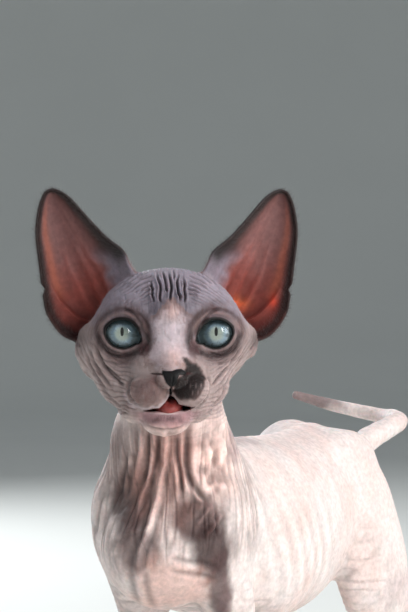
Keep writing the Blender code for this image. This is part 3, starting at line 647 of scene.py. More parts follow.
def upright(head):
    """Points of the face with the lower face's lean taken out."""
    points = head.copy()
    points[:, 0] -= np.minimum(0, head[:, 2] - LEAN_FROM) * LEAN
    out = ramp(head[:, 0] - CHEEK_SLANT * (head[:, 2] - CHEEK_HEIGHT), *CHEEK_ACROSS)
    points[:, 0] += LEFT_CHEEK * ridge(head[:, 2], CHEEK_HEIGHT, CHEEK_REACH) * out
    return points


def head_field(field, head):
    """The body's distance with the head's forms run into it and the eyes, mouth and nostrils carved."""
    face = upright(head)
    field = smooth_min(field, run_together(face, HEAD_FORMS, SKULL_BLEND), SKULL_BLEND)
    field = smooth_min(field, run_together(face, MUZZLE_FORMS, MUZZLE_BLEND), MUZZLE_BLEND)
    field = smooth_min(field, run_together(face, LID_FORMS, LID_BLEND), LID_BLEND)
    field = smooth_min(field, run_together(face, NOSE_FORMS, 0.8), 1.2) + SKIN_DEPTH
    field = carve_all(field, face, NOSTRIL_FORMS, 0.4)
    ears = EAR.distance(head)
    field = smooth_min(field, ears, EAR_BLEND)
    field = carve_all(field, head, EAR_HOLES, 1.2)
    field = smooth_min(field, ears, 0.5)
    field = smooth_min(field, run_together(head, EAR_FRONTS, 2.5) + SKIN_DEPTH, 4.0)
    field = carve_all(field, head, EAR_NOTCHES, 1.4)
    for side in (1, -1):
        local, _, outside = eye_polar(head, side)
        socket = EYE_FLOOR - lengths(local)
        field = carve(field, np.maximum(np.maximum(outside, local[:, 1]), socket))
    x, y, z = face.T
    field = carve(field, np.maximum(polygon(x, z, MOUTH_OPENING), y - MOUTH_BACK))
    return carve(field, np.maximum(polygon(x, z, LIP_LINE), y - LIPS_BACK))


def skin_field(points):
    """How far points of the body's frame lie outside the kitten's skin."""
    field = run_together(points, BODY_FORMS, BODY_BLEND)
    for paw in PAWS:
        local = to_frame(points, *paw_frame(paw))
        near = (np.hypot(local[:, 0], local[:, 1]) < 34) & (local[:, 2] < 34)
        field[near] = smooth_min(field[near], paw_field(local[near]), 2.5)
    head = in_head(points)
    near = about_skull(head)
    field[near] = head_field(field[near], head[near])
    field[~near] += SKIN_DEPTH
    return -smooth_min(-field, points[:, 2], 1.0)


def in_pieces(function, points, size=400000):
    """Runs a function over many points a part at a time."""
    return np.concatenate([function(points[k:k + size]) for k in range(0, len(points), size)])


def lattice(low, counts, step):
    """The points of a regular grid."""
    axes = [low[k] + np.arange(counts[k]) * step for k in range(3)]
    return np.stack(np.meshgrid(*axes, indexing="ij"), axis=-1).reshape(-1, 3)


def quads_of(field, low, high, voxel):
    """The zero surface of a field between two corners. It is worked out finely only where it lies."""
    block = voxel * COARSE
    blocks = np.ceil((np.array(high) - low) / block).astype(int)
    middles = lattice(np.array(low) + (block - voxel) / 2, blocks, block)
    rough = in_pieces(field, middles)
    limit = 3 * voxel
    grid = np.clip(rough, -limit, limit).astype(np.float32).reshape(blocks)
    for axis in range(3):
        grid = grid.repeat(COARSE, axis=axis)
    close = np.flatnonzero(np.abs(rough) < block * 1.5)
    inner = lattice(np.zeros(3), (COARSE,) * 3, 1).astype(int)
    index = np.stack(np.unravel_index(close, blocks), axis=1) * COARSE
    index = (index[:, None] + inner).reshape(-1, 3)
    fine = in_pieces(field, np.array(low) + index * voxel)
    grid[tuple(index.T)] = np.clip(fine, -limit, limit)
    volume = openvdb.FloatGrid(limit)
    volume.copyFromArray(grid)
    corners, quads = volume.convertToQuads(isovalue=0.0)
    return corners * voxel + np.array(low), quads


def values_of(data, name, width):
    """One value, or several, for each item of a mesh's list."""
    flat = np.empty(len(data) * width, np.float32)
    data.foreach_get(name, flat)
    return flat.reshape(-1, width).astype(float)


def coordinates(mesh):
    return values_of(mesh.vertices, "co", 3)


def normals(mesh):
    return values_of(mesh.vertex_normals, "vector", 3)


def set_coordinates(mesh, points):
    mesh.vertices.foreach_set("co", points.astype(np.float32).ravel())
    mesh.update()


def mesh_of(points, faces, name):
    mesh = bpy.data.meshes.new(name)
    mesh.from_pydata(np.asarray(points).tolist(), [], faces)
    mesh.update()
    return mesh


def mesh_from(grid, name):
    """A mesh of what an editing grid holds, which is then let go."""
    mesh = bpy.data.meshes.new(name)
    grid.to_mesh(mesh)
    grid.free()
    return mesh


def refine(mesh, chosen):
    """Halves the edges whose ends are both chosen, and fills the faces between them with smaller ones."""
    grid = bmesh.new()
    grid.from_mesh(mesh)
    grid.verts.ensure_lookup_table()
    edges = [edge for edge in grid.edges if chosen[edge.verts[0].index] and chosen[edge.verts[1].index]]
    bmesh.ops.subdivide_edges(grid, edges=edges, cuts=1, use_grid_fill=True)
    grid.to_mesh(mesh)
    grid.free()


def relax(mesh, rounds):
    """Moves each point towards the mean of its neighbours."""
    pairs = np.empty(len(mesh.edges) * 2, np.int32)
    mesh.edges.foreach_get("vertices", pairs)
    a, b = pairs.reshape(-1, 2).T
    count = np.bincount(pairs, minlength=len(mesh.vertices))[:, None]
    points = coordinates(mesh)
    for _ in range(rounds):
        total = np.empty_like(points)
        for k in range(3):
            total[:, k] = np.bincount(a, points[b, k], len(points))
            total[:, k] += np.bincount(b, points[a, k], len(points))
        points = points * 0.4 + total / count * 0.6
    set_coordinates(mesh, points)


def settle(mesh, rounds=1):
    """Moves the points along their normals onto the skin's surface."""
    for _ in range(rounds):
        points = coordinates(mesh)
        moves = np.clip(in_pieces(skin_field, points), -VOXEL, VOXEL)
        set_coordinates(mesh, points - normals(mesh) * moves[:, None])


def near_face(mesh):
    """Which points lie on the head, ears, neck or chest, and which about the face and brow."""
    points = coordinates(mesh)
    head = in_head(points)
    on_head = (head[:, 2] > -38) & about_skull(head, 72)
    on_chest = (points[:, 1] < 30) & (points[:, 2] > 96) & (points[:, 2] < 180)
    on_face = (head[:, 1] < 8) & (np.abs(head[:, 0]) < 33) & (head[:, 2] > -39) & (head[:, 2] < 26)
    return on_head | on_chest, on_face


def noise(points, size, seed):
    """Smooth noise from -1 to 1 that changes over a size."""
    values = np.random.default_rng(seed).uniform(-1, 1, (32, 32, 32)).astype(np.float32)
    places = points / size
    whole = np.floor(places).astype(int)
    share = places - whole
    share = share * share * (3 - 2 * share)
    total = np.zeros(len(points))
    for corner in np.ndindex(2, 2, 2):
        weight = np.prod(np.where(corner, share, 1 - share), axis=1)
        total += weight * values[tuple(((whole + corner) % 32).T)]
    return total


def wrinkles(points, size, width, seed):
    """A net of thin lines where smooth noise passes through zero: 1 on a line and 0 away from it."""
    return np.exp(-(noise(points, size, seed) / width) ** 2)


def ridge(value, middle, width):
    """A soft bump of 1 at the middle."""
    return np.exp(-((value - middle) / width) ** 2)


def stroke(x, z, path, width):
    """The strength of a drawn line and of the two banks beside it, at points of a plane."""
    line = spline(path, 6 * (len(path) - 1) + 1)
    low, high = line.min(axis=0) - 4 * width, line.max(axis=0) + 4 * width
    near = np.flatnonzero((x > low[0]) & (x < high[0]) & (z > low[1]) & (z < high[1]))
    away, share = np.full(len(near), FAR), np.zeros(len(near))
    px, pz = x[near], z[near]
    for k, (start, end) in enumerate(zip(line, line[1:])):
        run, rise = end - start
        t = np.clip(((px - start[0]) * run + (pz - start[1]) * rise) / (run**2 + rise**2), 0, 1)
        apart = np.hypot(px - start[0] - run * t, pz - start[1] - rise * t)
        closer = apart < away
        away = np.where(closer, apart, away)
        share = np.where(closer, (k + t) / (len(line) - 1), share)
    fade = ramp(share, -0.01, 0.22) * ramp(1 - share, -0.01, 0.22)
    groove, bank = np.zeros(len(x)), np.zeros(len(x))
    groove[near] = ridge(away, 0, width) * fade
    bank[near] = ridge(away, 2.1 * width, width) * fade
    return groove, bank


def drawn_folds(x, z, folds, sides=(1,)):
    """How far drawn folds move the skin, and how much shade is painted in their grooves."""
    moves, dark = np.zeros(len(x)), np.zeros(len(x))
    for width, depth, path in folds:
        for side in sides:
            groove, bank = stroke(side * x, z, path, width)
            moves += depth * (0.35 * bank - groove)
            dark = np.maximum(dark, groove * np.clip(depth, 0, 1))
    return moves, dark


def lid_folds(head):
    """The lids' rims and the fine lines that run round each eye, and the shade painted in them."""
    moves, dark = np.zeros(len(head)), np.zeros(len(head))
    for side in (1, -1):
        local, _, outside = eye_polar(head, side)
        front = (local[:, 1] < 3) & (outside < 14)
        upper = ramp(local[:, 2], -1.5, 2.5)
        outer = ramp(side * local[:, 0] - 0.7 * local[:, 2], 1, 6)
        move = 0.2 * ridge(outside, 0.5, 0.45) - 0.2 * upper * ridge(outside, 1.6, 0.4)
        move += upper * (0.15 * ridge(outside, 2.6, 0.8) - 0.3 * (1 - outer) * ridge(outside, 4, 0.7))
        move += (1 - upper) * (0.25 * ridge(outside, 1.4, 0.5) - 0.2 * ridge(outside, 2.3, 0.35))
        warp = 0.6 * noise(local, 3.5, 24) + 0.2 * noise(local, 1.2, 29)
        lines = lined(outside + warp, 1.2) * ramp(outside, 1.6, 2.4) * ramp(outside, 8, 5)
        lines *= (0.1 + 0.9 * outer) * (0.5 + 0.5 * noise(local, 2.4, 30))
        moves += np.where(front, move - 0.24 * lines, 0)
        shade = 0.3 * upper * ridge(outside, 4.2, 0.8) + 0.4 * lines
        dark = np.maximum(dark, np.where(front, shade, 0))
    return moves, dark


def lined(value, spacing):
    """Narrow lines a spacing apart: 1 on each line and 0 between them."""
    return (0.5 + 0.5 * np.cos(value / spacing * 2 * pi)) ** 3


def skull_lines(face):
    """Fine folds that fan out over the brow, arc down the cheeks and net the whole skull, and the shade
    painted in them.
    """
    x, z = np.abs(face[:, 0]), face[:, 2]
    warp = 0.8 * noise(face, 5, 25) + 0.25 * noise(face, 1.8, 26)
    broken = ramp(noise(face, 3.4, 27), -0.5, 0.3)
    fall = z + 0.3 * (x - 6) + 0.018 * (x - 6) ** 2
    fan = lined(fall + 0.5 * warp, 1.3) * broken
    fan *= ramp(x, 6, 8.5) * ramp(x, 23, 17) * ramp(z, 8, 13)
    reach = np.hypot(x - CHEEK_CENTRE[0], z - CHEEK_CENTRE[1])
    arcs = lined(reach + warp, 1.6) * (0.4 + 0.6 * broken) * ramp(reach, 11, 14)
    arcs *= ramp(z + 0.25 * x, 8, 0) * ramp(x - 0.35 * (z + 10), 13, 20)
    crown = lined(x + 0.6 * warp, 2.1)
    crown *= ramp(x, 16, 12) * ramp(face[:, 1], -4, 4) * ramp(z, 14, 18)
    net = wrinkles(face * (1, 0.5, 0.45), 2.0, 0.25, 9)
    return -0.28 * (fan + arcs + crown) - 0.12 * net, np.maximum(0.4 * fan, 0.45 * arcs)


def ear_places(head):
    """For the points near an ear: which they are, their places on its sheet, and how much they are its."""
    points = on_left(head)
    near = np.flatnonzero(np.all((points > EAR.low - 4) & (points < EAR.high + 4), axis=1))
    away, along, across, front = EAR.nearest(points[near])
    return near, along, across, front, ramp(away, 3.2, 1.4)


def ear_folds(along, across, front, on_ear):
    """The ridges inside the cup, the flap of the pocket at the outer edge, and the thin rim."""
    low = ramp(along, 0.62, 0.3)
    moves = 0.9 * low * ridge(across + 0.12 * along, 0.42, 0.05)
    moves += 0.8 * low * ridge(across + 0.05 * along, 0.60, 0.04)
    moves += 0.5 * ramp(along, 0.75, 0.4) * ridge(across, 0.27, 0.04)
    flap = (across - 0.80 - 0.42 * (along - 0.16)) * 30
    moves += 1.3 * ramp(along, 0.42, 0.34) * ramp(along, 0, 0.06) * ridge(flap, 0, 0.9)
    inside = ramp(front, -0.1, 0.4)
    return on_ear * (inside * moves - 0.15 * ridge(ear_rim(along, across), 0, 1.2))


def ear_rim(along, across):
    """How far a place on the ear's sheet lies from its edge, in millimetres."""
    return np.minimum(np.minimum(across, 1 - across) * 30, (1 - along) * 60)


def in_view(points, normal):
    """Places across the side that the chest is drawn from, and how squarely the skin faces that side."""
    turn = radians(VIEW_TURN)
    across = points[:, 0] * cos(turn) + points[:, 1] * sin(turn)
    return across, normal[:, 0] * sin(turn) - normal[:, 1] * cos(turn)


def chest_folds(points, normal):
    """The drawn folds of the throat and chest, the fine nets over them, and the lumps at the neck's side,
    with the shade painted in their grooves and between the lumps.
    """
    x, y, z = points.T
    across, toward = in_view(points, normal)
    facing = ramp(toward, 0.05, 0.4)
    chest = facing * (y < 40) * ramp(z, 176, 166)
    moves, dark = drawn_folds(across, z, CHEST_FOLDS)
    moves, dark = moves * chest, dark * chest
    around = np.column_stack([np.arctan2(x - 3, -(y + 8)) * 26, y * 0.1, z * 0.22])
    throat = ramp(z, 104, 128) * ramp(z, 176, 164) * ramp(y, 26, 4)
    fine = wrinkles(around, 3.6, 0.22, 3) + 0.7 * wrinkles(around, 2.2, 0.25, 4)
    moves -= 0.45 * throat * fine
    slant = np.column_stack([(across + z) * 0.3, y * 0.2, z - across * 0.6])
    patches = (ridge(across, -18, 8) + ridge(across, 12, 8)) * ridge(z, 124, 13)
    moves -= 0.24 * patches * facing * (y < 30) * wrinkles(slant, 2.6, 0.45, 17)
    # Painted shade in the throat's fine wrinkles.
    dark = np.maximum(dark, 0.5 * throat * np.clip(fine, 0, 1))
    bumpy = ridge(across, 13, 7) * ridge(z, 152, 17) * facing * (y < 30)
    lumps = noise(points * (1, 1, 0.75), 2.6, 8)
    # Painted shade in the valleys between the lumps at the neck's side.
    dark = np.maximum(dark * (1 - bumpy), bumpy * ramp(-lumps, 0.1, 0.6) * 0.5)
    return moves + 1.5 * bumpy * lumps, dark


def flank_folds(points, normal):
    """The ribs and the soft net of the flanks, the knobs of the spine, and the tail's fine folds."""
    x, y, z = points.T
    flank = ramp(z, 60, 90) * ramp(y, 0, 30) * ramp(y, 150, 120)
    ribs = 0.8 * np.sin((y + 0.3 * z) / 10 * 2 * pi + 0.6 * noise(points, 20, 16))
    moves = 0.3 * flank * ribs * ramp(y, 86, 66) * ridge(z, 112, 20)
    moves -= 0.14 * flank * wrinkles(points * (1, 1, 0.5), 9, 0.3, 6)
    spine = ridge(x, 0, 4.5) * ramp(normal[:, 2], 0.5, 0.9) * (y > 10)
    moves += 0.55 * spine * (0.6 + 0.4 * np.sin(y / 8.2 * 2 * pi))
    return moves - 0.16 * ramp(y, 146, 156) * wrinkles(points * (0.3, 1, 0.3), 2.4, 0.3, 7)


def body_folds(points, normal):
    """The folds of the throat, chest, joints and flanks, and the shade painted in them."""
    moves, dark = chest_folds(points, normal)
    joints = np.zeros(len(points))
    for *centre, reach in JOINT_FOLDS:
        joints += ridge(lengths(points - centre), 0, reach)
    rings = np.clip(joints, 0, 1) * wrinkles(points * (0.35, 0.35, 1), 3.4, 0.24, 5)
    return moves - 0.5 * rings + flank_folds(points, normal), np.maximum(dark, 0.35 * rings)


def nose_folds(face):
    """The raised leather of the nose and the groove down its middle."""
    x, y, z = face.T
    leather = polygon(x, z, NOSE_LEATHER)
    moves = 0.35 * ramp(leather, 0.3, -0.8) - 0.3 * ridge(leather, 0.15, 0.3)
    moves -= 0.35 * ridge(x, 0.1, 0.3) * ramp(z, -15.5, -17.5) * (leather < 0.2)
    return moves * (y < -16)


def away_from_openings(head, face):
    """Where the skull's fine folds may run: clear of the eyes, the mouth and the nose."""
    x, _, z = face.T
    outside = np.minimum(*(eye_polar(head, side)[2] for side in (1, -1)))
    mouth = np.minimum(polygon(x, z, MOUTH_OPENING), NEAR)
    return ramp(outside, 2, 5) * ramp(mouth, 1, 3) * ramp(np.hypot(x / 11, (z + 17) / 13), 0.9, 1.2)


def face_folds(head, facing):
    """How far the folds of the head move its skin, and the shade painted in them."""
    face = upright(head)
    x, y, z = face.T
    front = ramp(-facing, -0.15, 0.2) * ramp(z, -40, -36) * ramp(y - 0.3 * z, 14, 8)
    once, once_shade = drawn_folds(x, z, FACE_FOLDS)
    both, both_shade = drawn_folds(x, z, FACE_SIDE_FOLDS, (1, -1))
    lids, lids_shade = lid_folds(head)
    lines, lines_shade = skull_lines(face)
    skull = ramp(z, -40, -30) * away_from_openings(head, face)
    moves = (once + both) * front + lids + nose_folds(face) + lines * skull
    drawn_shade = np.maximum(once_shade, both_shade) * front
    return moves, np.maximum(np.maximum(drawn_shade, lids_shade), lines_shade * skull)


def all_folds(points, normal):
    """How far the skin moves out at each point, and how much shade is painted in the folds."""
    moves, dark = body_folds(points, normal)
    on_head, head = head_part(points)
    facing = (normal[on_head] @ rotation(HEAD_TURN, "Z"))[:, 1]
    folds, folds_shade = face_folds(head, facing)
    above = 1 - ramp(head[:, 2], -40, -30)
    moves[on_head] = moves[on_head] * above + folds
    dark[on_head] = np.maximum(dark[on_head] * above, folds_shade)
    near, along, across, front, on_ear = ear_places(head)
    ear = on_head[near]
    moves[ear] = moves[ear] * (1 - on_ear) + ear_folds(along, across, front, on_ear)
    dark[ear] *= 1 - on_ear
    return moves, dark


def screen(colour):
    """A colour given as it is on a screen, in the renderer's own scale."""
    share = np.array(colour, float) / 255
    return np.where(share <= 0.04045, share / 12.92, ((share + 0.055) / 1.055) ** 2.4)


def paint(tone, colour, amount):
    """Mixes a colour into the tones by an amount for each point."""
    tone += (screen(colour) - tone) * np.clip(amount, 0, 1)[:, None]


def body_tone(points, normal, dark):
    """The markings of the body: pale, with mauve patches on the chest and down the left foreleg, and mauve
    painted shade in the folds.
    """
    tone = np.tile(screen(PALE), (len(points), 1))
    blotch = noise(points, 16, 11) * 0.6 + noise(points, 5.5, 12) * 0.4
    paint(tone, PINK, 0.16 + 0.3 * blotch)
    across, toward = in_view(points, normal)
    height = points[:, 2]
    warp = 5 * noise(points, 9, 13) + 2 * noise(points, 3, 14)
    streak = noise(points * (1, 1, 0.25), 1.5, 15)
    front = ramp(points[:, 1] + warp, 34, 12) * ramp(toward, -0.6, 0.05)
    throat = ridge(height, 157, 17) * ridge(across, -2, 15) * front
    paint(tone, ROSE, 0.75 * throat + 0.15 * throat * streak)
    paint(tone, PEACH, 0.75 * ridge(across, 14, 7) * ridge(height, 152, 18) * front)
    for place_x, place_z, reach_x, reach_z, colour, amount in CHEST_PATCHES:
        away = np.hypot((across - place_x) / reach_x, (height - place_z) / reach_z) + warp * 0.06
        paint(tone, colour, amount * front * ramp(away + 0.1 * streak, 1.3, 0.6))
    for centre, radii, colour, amount in FAR_PATCHES:
        away = lengths((points - centre) / np.array(radii)) + warp * 0.05
        paint(tone, colour, amount * ramp(away, 1.2, 0.7))
    paint(tone, PINK, 0.5 * ramp(height, 40, 4))
    # Painted shade in the folds' grooves.
    paint(tone, MAUVE, 0.6 * dark)
    return tone


def skull_tone(tone, face, warp, streak):
    """The grey and lilac skull, with its darker crest, brow and bridge, and painted shade on the skin in
    front of each ear's root.
    """
    x, y, z = face.T
    wide, front = np.abs(x), y < 6
    back = ramp(y, 14, 34)
    paint(tone, GREY, 0.85 * (1 - 0.6 * back) * ramp(z + warp, -36, -31))
    paint(tone, LILAC, 0.9 * ramp(z + 3 * warp - 0.3 * wide, -10, 2) * (1 - 0.4 * back))
    crest = ramp(z + 1.5 * warp, 4, 8) * ramp(z + warp, 26, 12) * ramp(wide + warp, 13, 7)
    paint(tone, SLATE, (0.72 + 0.28 * streak) * crest * front)
    brow = ridge(wide, 16.5, 6.5) * ridge(z, 9.6, 3.4)
    paint(tone, UMBER, (0.45 + 0.3 * streak) * brow * front)
    # Painted shade on the knob of skin in front of each ear's root.
    paint(tone, UMBER, (0.8 + 0.1 * streak) * ridge(wide, 35.5, 4.5) * ridge(z, -3, 5) * (y < 24))
    bridge = ridge(wide, 9.8, 2.4) * ramp(z, -8, -2) * ramp(z, 10, 4)
    paint(tone, UMBER, (0.45 + 0.3 * streak) * bridge * front)
    paint(tone, MAUVE, 0.3 * ridge(wide, 18, 8) * ridge(z, -12, 5) * front)


def blaze_tone(tone, face, warp, streak):
    """The pale blaze between the eyes, speckled at its edge and pink along its middle."""
    x, y, z = face.T
    front = y < 6
    blaze = polygon(x, z, BLAZE) + 1.3 * warp + 0.5 * streak
    speck = ramp(noise(face, 0.55, 42) + 0.5 * warp, 0.1, 0.8)
    paint(tone, BLAZE_PALE, 0.95 * ramp(blaze, 1.8, -2.2) * front)
    paint(tone, PAD, 0.4 * speck * ridge(blaze, -0.4, 2.4) * front)
    paint(tone, PAD, (0.6 + 0.2 * warp) * (ramp(z, 2, 7) + ridge(z, -11, 3)) * (blaze < 2) * front)
    paint(tone, PINK, 0.4 * ridge(x, 0.5, 3.6) * ridge(z, -9, 4) * front)
    paint(tone, PINK, 0.35 * ridge(x, 0.3, 2.6) * ridge(z, 7.5, 3) * front)


def right_pad(face, warp):
    """How far places are from the middle of the right whisker pad, as a share of its reach."""
    x, _, z = face.T
    return np.hypot((x + 8.2) / 7.4, (z + 21.8) / 5.8) + 0.1 * warp + 0.12 * noise(face, 1.6, 43)


def right_pad_tone(tone, face, warp, streak):
    """The mauve whisker pad on the kitten's right, with its pale lower edge."""
    x, y, z = face.T
    muzzle, pad = y < -8, right_pad(face, warp)
    paint(tone, PAD, (0.85 + 0.2 * streak) * ramp(pad, 1.35, 0.6) * muzzle)
    paint(tone, MAUVE, (0.5 + 0.3 * warp) * ramp(pad, 0.95, 0.3) * muzzle)
    paint(tone, BLAZE_PALE, 0.6 * ridge(pad, 1.12, 0.1) * ramp(z, -20, -25) * muzzle)
    paint(tone, EAR_BROWN, 0.45 * ridge(x, -6.4, 1.4) * ridge(z, -17, 1.8) * muzzle)


def dark_patch_tone(tone, face, warp):
    """The dark patch on the nose and the left whisker pad, and the rows of whisker roots on both pads."""
    x, y, z = face.T
    muzzle, pad = y < -8, right_pad(face, warp)
    patch = polygon(x, z, DARK_PATCH) + 0.45 * warp
    inside = ramp(patch, 0.6, -0.5) * muzzle
    paint(tone, PATCH_EDGE, inside)
    core = ramp(patch, 0.3, -0.9) * (0.45 + 0.55 * ramp(x - 0.8 * z, 30, 25)) * muzzle
    paint(tone, DARK, 0.96 * core)
    marks = inside * whisker_marks(x, z) * ramp(x, 6, 8) * ramp(z, -17, -19)
    paint(tone, WHISKER_ROOT, (0.45 + 0.3 * warp) * marks)
    paint(tone, UMBER, (0.3 + 0.2 * warp) * ramp(pad, 1, 0.5) * whisker_marks(-x, z) * muzzle)


def mouth_tone(tone, face, warp, streak):
    """The lower lip, the pale chin, and the dark edge and red inside of the mouth. Gives where it is wet."""
    x, y, z = face.T
    wide, front = np.abs(x), y < 0
    jaw = ramp(z + 0.5 * warp, -28.6, -30) * ramp(np.hypot(x / 14, (z + 30) / 7.4), 1.1, 0.5) * front
    paint(tone, LIP, 0.8 * jaw)
    paint(tone, MAUVE, (0.55 + 0.35 * streak) * jaw * ridge(z + 0.04 * x**2, -31.8, 1.7))
    paint(tone, PALE, 0.5 * jaw * ridge(z, -30.1, 0.35) * ridge(x, -0.5, 4))
    paint(tone, PALE, 0.75 * ramp(z, -35.6, -37) * ramp(wide, 12, 8) * front)
    mouth = np.minimum(polygon(x, z, MOUTH_OPENING), polygon(x, z, LIP_LINE))
    paint(tone, MAUVE, 0.8 * ramp(mouth, 0.5, 0.1) * (y < -6) * ramp(wide, 4, 6))
    paint(tone, MOUTH_RED, ramp(mouth, 0.05, -0.3) * ramp(y, -21, -19) * front)
    return ramp(mouth, 0.2, -0.2) * front


def nose_tone(tone, face, warp):
    """The black leather of the nose, the line below it and the slits beside it. Gives where it is wet."""
    x, y, z = face.T
    wide, muzzle = np.abs(x), y < -8
    leather = muzzle * ramp(polygon(x, z, NOSE_LEATHER) + 0.1 * warp, 0.2, -0.25)
    line = muzzle * ramp(wide, 0.7, 0.2) * ramp(z, -24.2, -23.4) * (z < -19.5)
    slit = muzzle * ramp(np.hypot((wide - 5.4) / 2.4, (z + 15.3) / 0.42), 1.2, 0.8)
    paint(tone, NOSTRIL_RED, 0.9 * slit)
    paint(tone, BLACK, np.maximum(leather, 0.9 * line))
    return leather


def face_tone(tone, head, dark):
    """The markings of the head, with painted shade in its folds. Gives where it is wet."""
    face = upright(head)
    warp = noise(face, 3.2, 21) + 0.6 * noise(face, 1.3, 22)
    streak = noise(face * (1, 0.5, 0.22), 0.9, 23) + 0.5 * noise(face * (1, 0.5, 0.3), 0.45, 28)
    skull_tone(tone, face, warp, streak)
    blaze_tone(tone, face, warp, streak)
    right_pad_tone(tone, face, warp, streak)
    for side in (1, -1):
        eye_tone(tone, head, side, warp, streak)
    dark_patch_tone(tone, face, warp)
    wet_mouth = mouth_tone(tone, face, warp, streak)
    # Painted shade in the folds, darkest in the deepest grooves.
    paint(tone, MAUVE, 0.6 * dark)
    paint(tone, DARK, 0.6 * ramp(dark, 0.5, 1))
    wet_nose = nose_tone(tone, face, warp)
    tone *= 1 + 0.08 * streak[:, None]
    return np.maximum(wet_nose, wet_mouth)


def whisker_marks(x, z):
    """Short upright dashes in rows, where the whiskers grow."""
    row = (z + 17) / 2.6
    along = x / 2 + 0.5 * np.round(row)
    return ridge(along - np.round(along), 0, 0.14) * ridge(row - np.round(row), 0, 0.3)


def eye_tone(tone, head, side, warp, streak):
    """The dark rims of an eye and the brown and mauve skin round it, with painted shade in the crease above
    and in the bag below.
    """
    local, _, outside = eye_polar(head, side)
    across, ahead, up = side * local[:, 0], local[:, 1] < 2, local[:, 2]
    upper, inner = ramp(up, -1, 3), ramp(across, 1, -5)
    paint(tone, MAUVE, (0.62 + 0.2 * streak) * ahead * ramp(outside + 0.8 * warp, 9, 2.5))
    brown = ahead * inner * upper * ramp(outside + 0.5 * warp, 7.5, 4)
    paint(tone, UMBER, (0.6 + 0.25 * streak) * brown)
    paint(tone, LID_SKIN, 0.5 * ahead * upper * ridge(outside, 2.6, 0.8))
    paint(tone, LID_CREASE, 0.85 * ahead * upper * ramp(outside, 1.9, 0.9))
    # Painted shade in the crease above the upper lid.
    paint(tone, LID_CREASE, 0.5 * ahead * upper * ridge(outside, 4.2, 0.9))
    paint(tone, LID_SHADE, 0.9 * ahead * (1 - upper) * ridge(outside + 0.4 * warp, 3.2, 1.5))
    corner = np.hypot((across + 8.4) / 2.4, (up + 5.2) / 3)
    paint(tone, EYE_CORNER, 0.8 * ahead * ramp(corner + 0.25 * warp, 1.3, 0.5))
    paint(tone, BLACK, ahead * ramp(outside, 0.95 + 0.45 * upper, 0.55 + 0.35 * upper))


def ear_tone(tone, along, across, front, on_ear, left):
    """Brown ears with a dark rim, red low in the cup, and grey behind. Painted shade lies deep in the cup and
    by the pocket, and a painted orange glow runs along the cup; the left one also has painted light where the
    lamp behind shines through it.
    """
    places = np.column_stack([along * 60, across * 34, np.zeros(len(along))])
    warp = noise(places, 6, 31) + 0.5 * noise(places, 2, 32)
    streak = noise(places * (0.3, 1, 1), 0.9, 33)
    inside = on_ear * ramp(front, -0.2, 0.3)
    paint(tone, EAR_BACK, on_ear - inside)
    paint(tone, EAR_BROWN, inside)
    low = ramp(along + 0.05 * warp, 0.66, 0.2)
    paint(tone, EAR_RED, 0.9 * inside * low * ramp(across, 0.12, 0.32))
    # The deep red of the skin with painted shade, low in the cup by its root.
    deep_shade = ramp(along + 0.05 * warp, 0.24, 0.02) * ramp(across, 0.3, 0.55)
    paint(tone, EAR_RED_AND_SHADE, 0.85 * inside * deep_shade)
    # Painted light: an orange glow and a red spot low in the left ear, where the lamp behind shines through
    # the thin skin.
    backlit_glow = ridge(along, 0.09, 0.07) * ridge(across + 0.1 * warp, 0.56, 0.1)
    paint(tone, EAR_BACKLIGHT, 0.9 * inside * left * backlit_glow)
    paint(tone, EAR_BACKLIGHT_SPOT, 0.8 * inside * left * ridge(along, 0.3, 0.05) * ridge(across, 0.86, 0.05))
    # Painted glow: an orange band along the cup's outer middle, where light shows through the ear.
    band = ridge(across, 0.84 - 0.62 * (along - 0.55) ** 2, 0.07) * ramp(along, 0.2, 0.42)
    paint(tone, EAR_GLOW, 0.3 * inside * band * ramp(along, 0.86, 0.6))
    # Painted shade in the groove beside the pocket's flap.
    groove = ridge(across, 0.93 - 0.7 * (0.42 - along), 0.05) * ramp(along, 0.45, 0.38)
    paint(tone, EAR_RED_AND_SHADE, 0.35 * inside * groove)
    lilac = ramp(across + 0.05 * warp, 0.3, 0.14) * ramp(along, 0.46, 0.26)
    paint(tone, LILAC, 0.9 * inside * lilac)
    rim = ear_rim(along, across) * (1 + 0.7 * ramp(across, 0.35, 0.65)) + 0.8 * warp
    edge = ramp(rim / (3.6 + 2.6 * ramp(along, 0.5, 1)), 1.8, 0.1) * ramp(along, 0.12, 0.3)
    edge = np.maximum(edge, 0.85 * ramp((1 - across) * 30 + 0.5 * warp, 3.4, 0.8))
    paint(tone, EAR_RIM, 0.94 * on_ear * edge)
    tone *= 1 + 0.07 * streak[:, None] * inside[:, None]


def dress(mesh):
    """Draws the folds in, paints shade into their grooves and light onto their ridges, and stores the
    markings and how wet the skin is with its points.
    """
    points, normal = coordinates(mesh), normals(mesh)
    moves, dark = all_folds(points, normal)
    tone, wet = body_tone(points, normal, dark), np.zeros(len(points))
    on_head, head = head_part(points)
    share = ramp(head[:, 2] + 1.5 * noise(head, 4, 41), -40, -33)
    share *= ramp(head[:, 1] - 0.6 * head[:, 2], 52, 40)
    painted = tone[on_head]
    wet[on_head] = face_tone(painted, head, dark[on_head]) * share
    near, *places = ear_places(head)
    ear = painted[near]
    ear_tone(ear, *places, head[near, 0] > 0)
    painted[near] = ear
    tone[on_head] += (painted - tone[on_head]) * share[:, None]
    # Painted shade in the grooves and painted highlight on the raised folds.
    tone *= np.exp(0.5 * np.clip(moves, -1.2, 0.5))[:, None]
    set_coordinates(mesh, points + normal * moves[:, None])
    store_tone(mesh, tone)
    store(mesh, "wet", wet, "FLOAT", "value")


def store(mesh, name, values, kind, field):
    attribute = mesh.attributes.new(name, kind, "POINT")
    attribute.data.foreach_set(field, values.astype(np.float32).ravel())


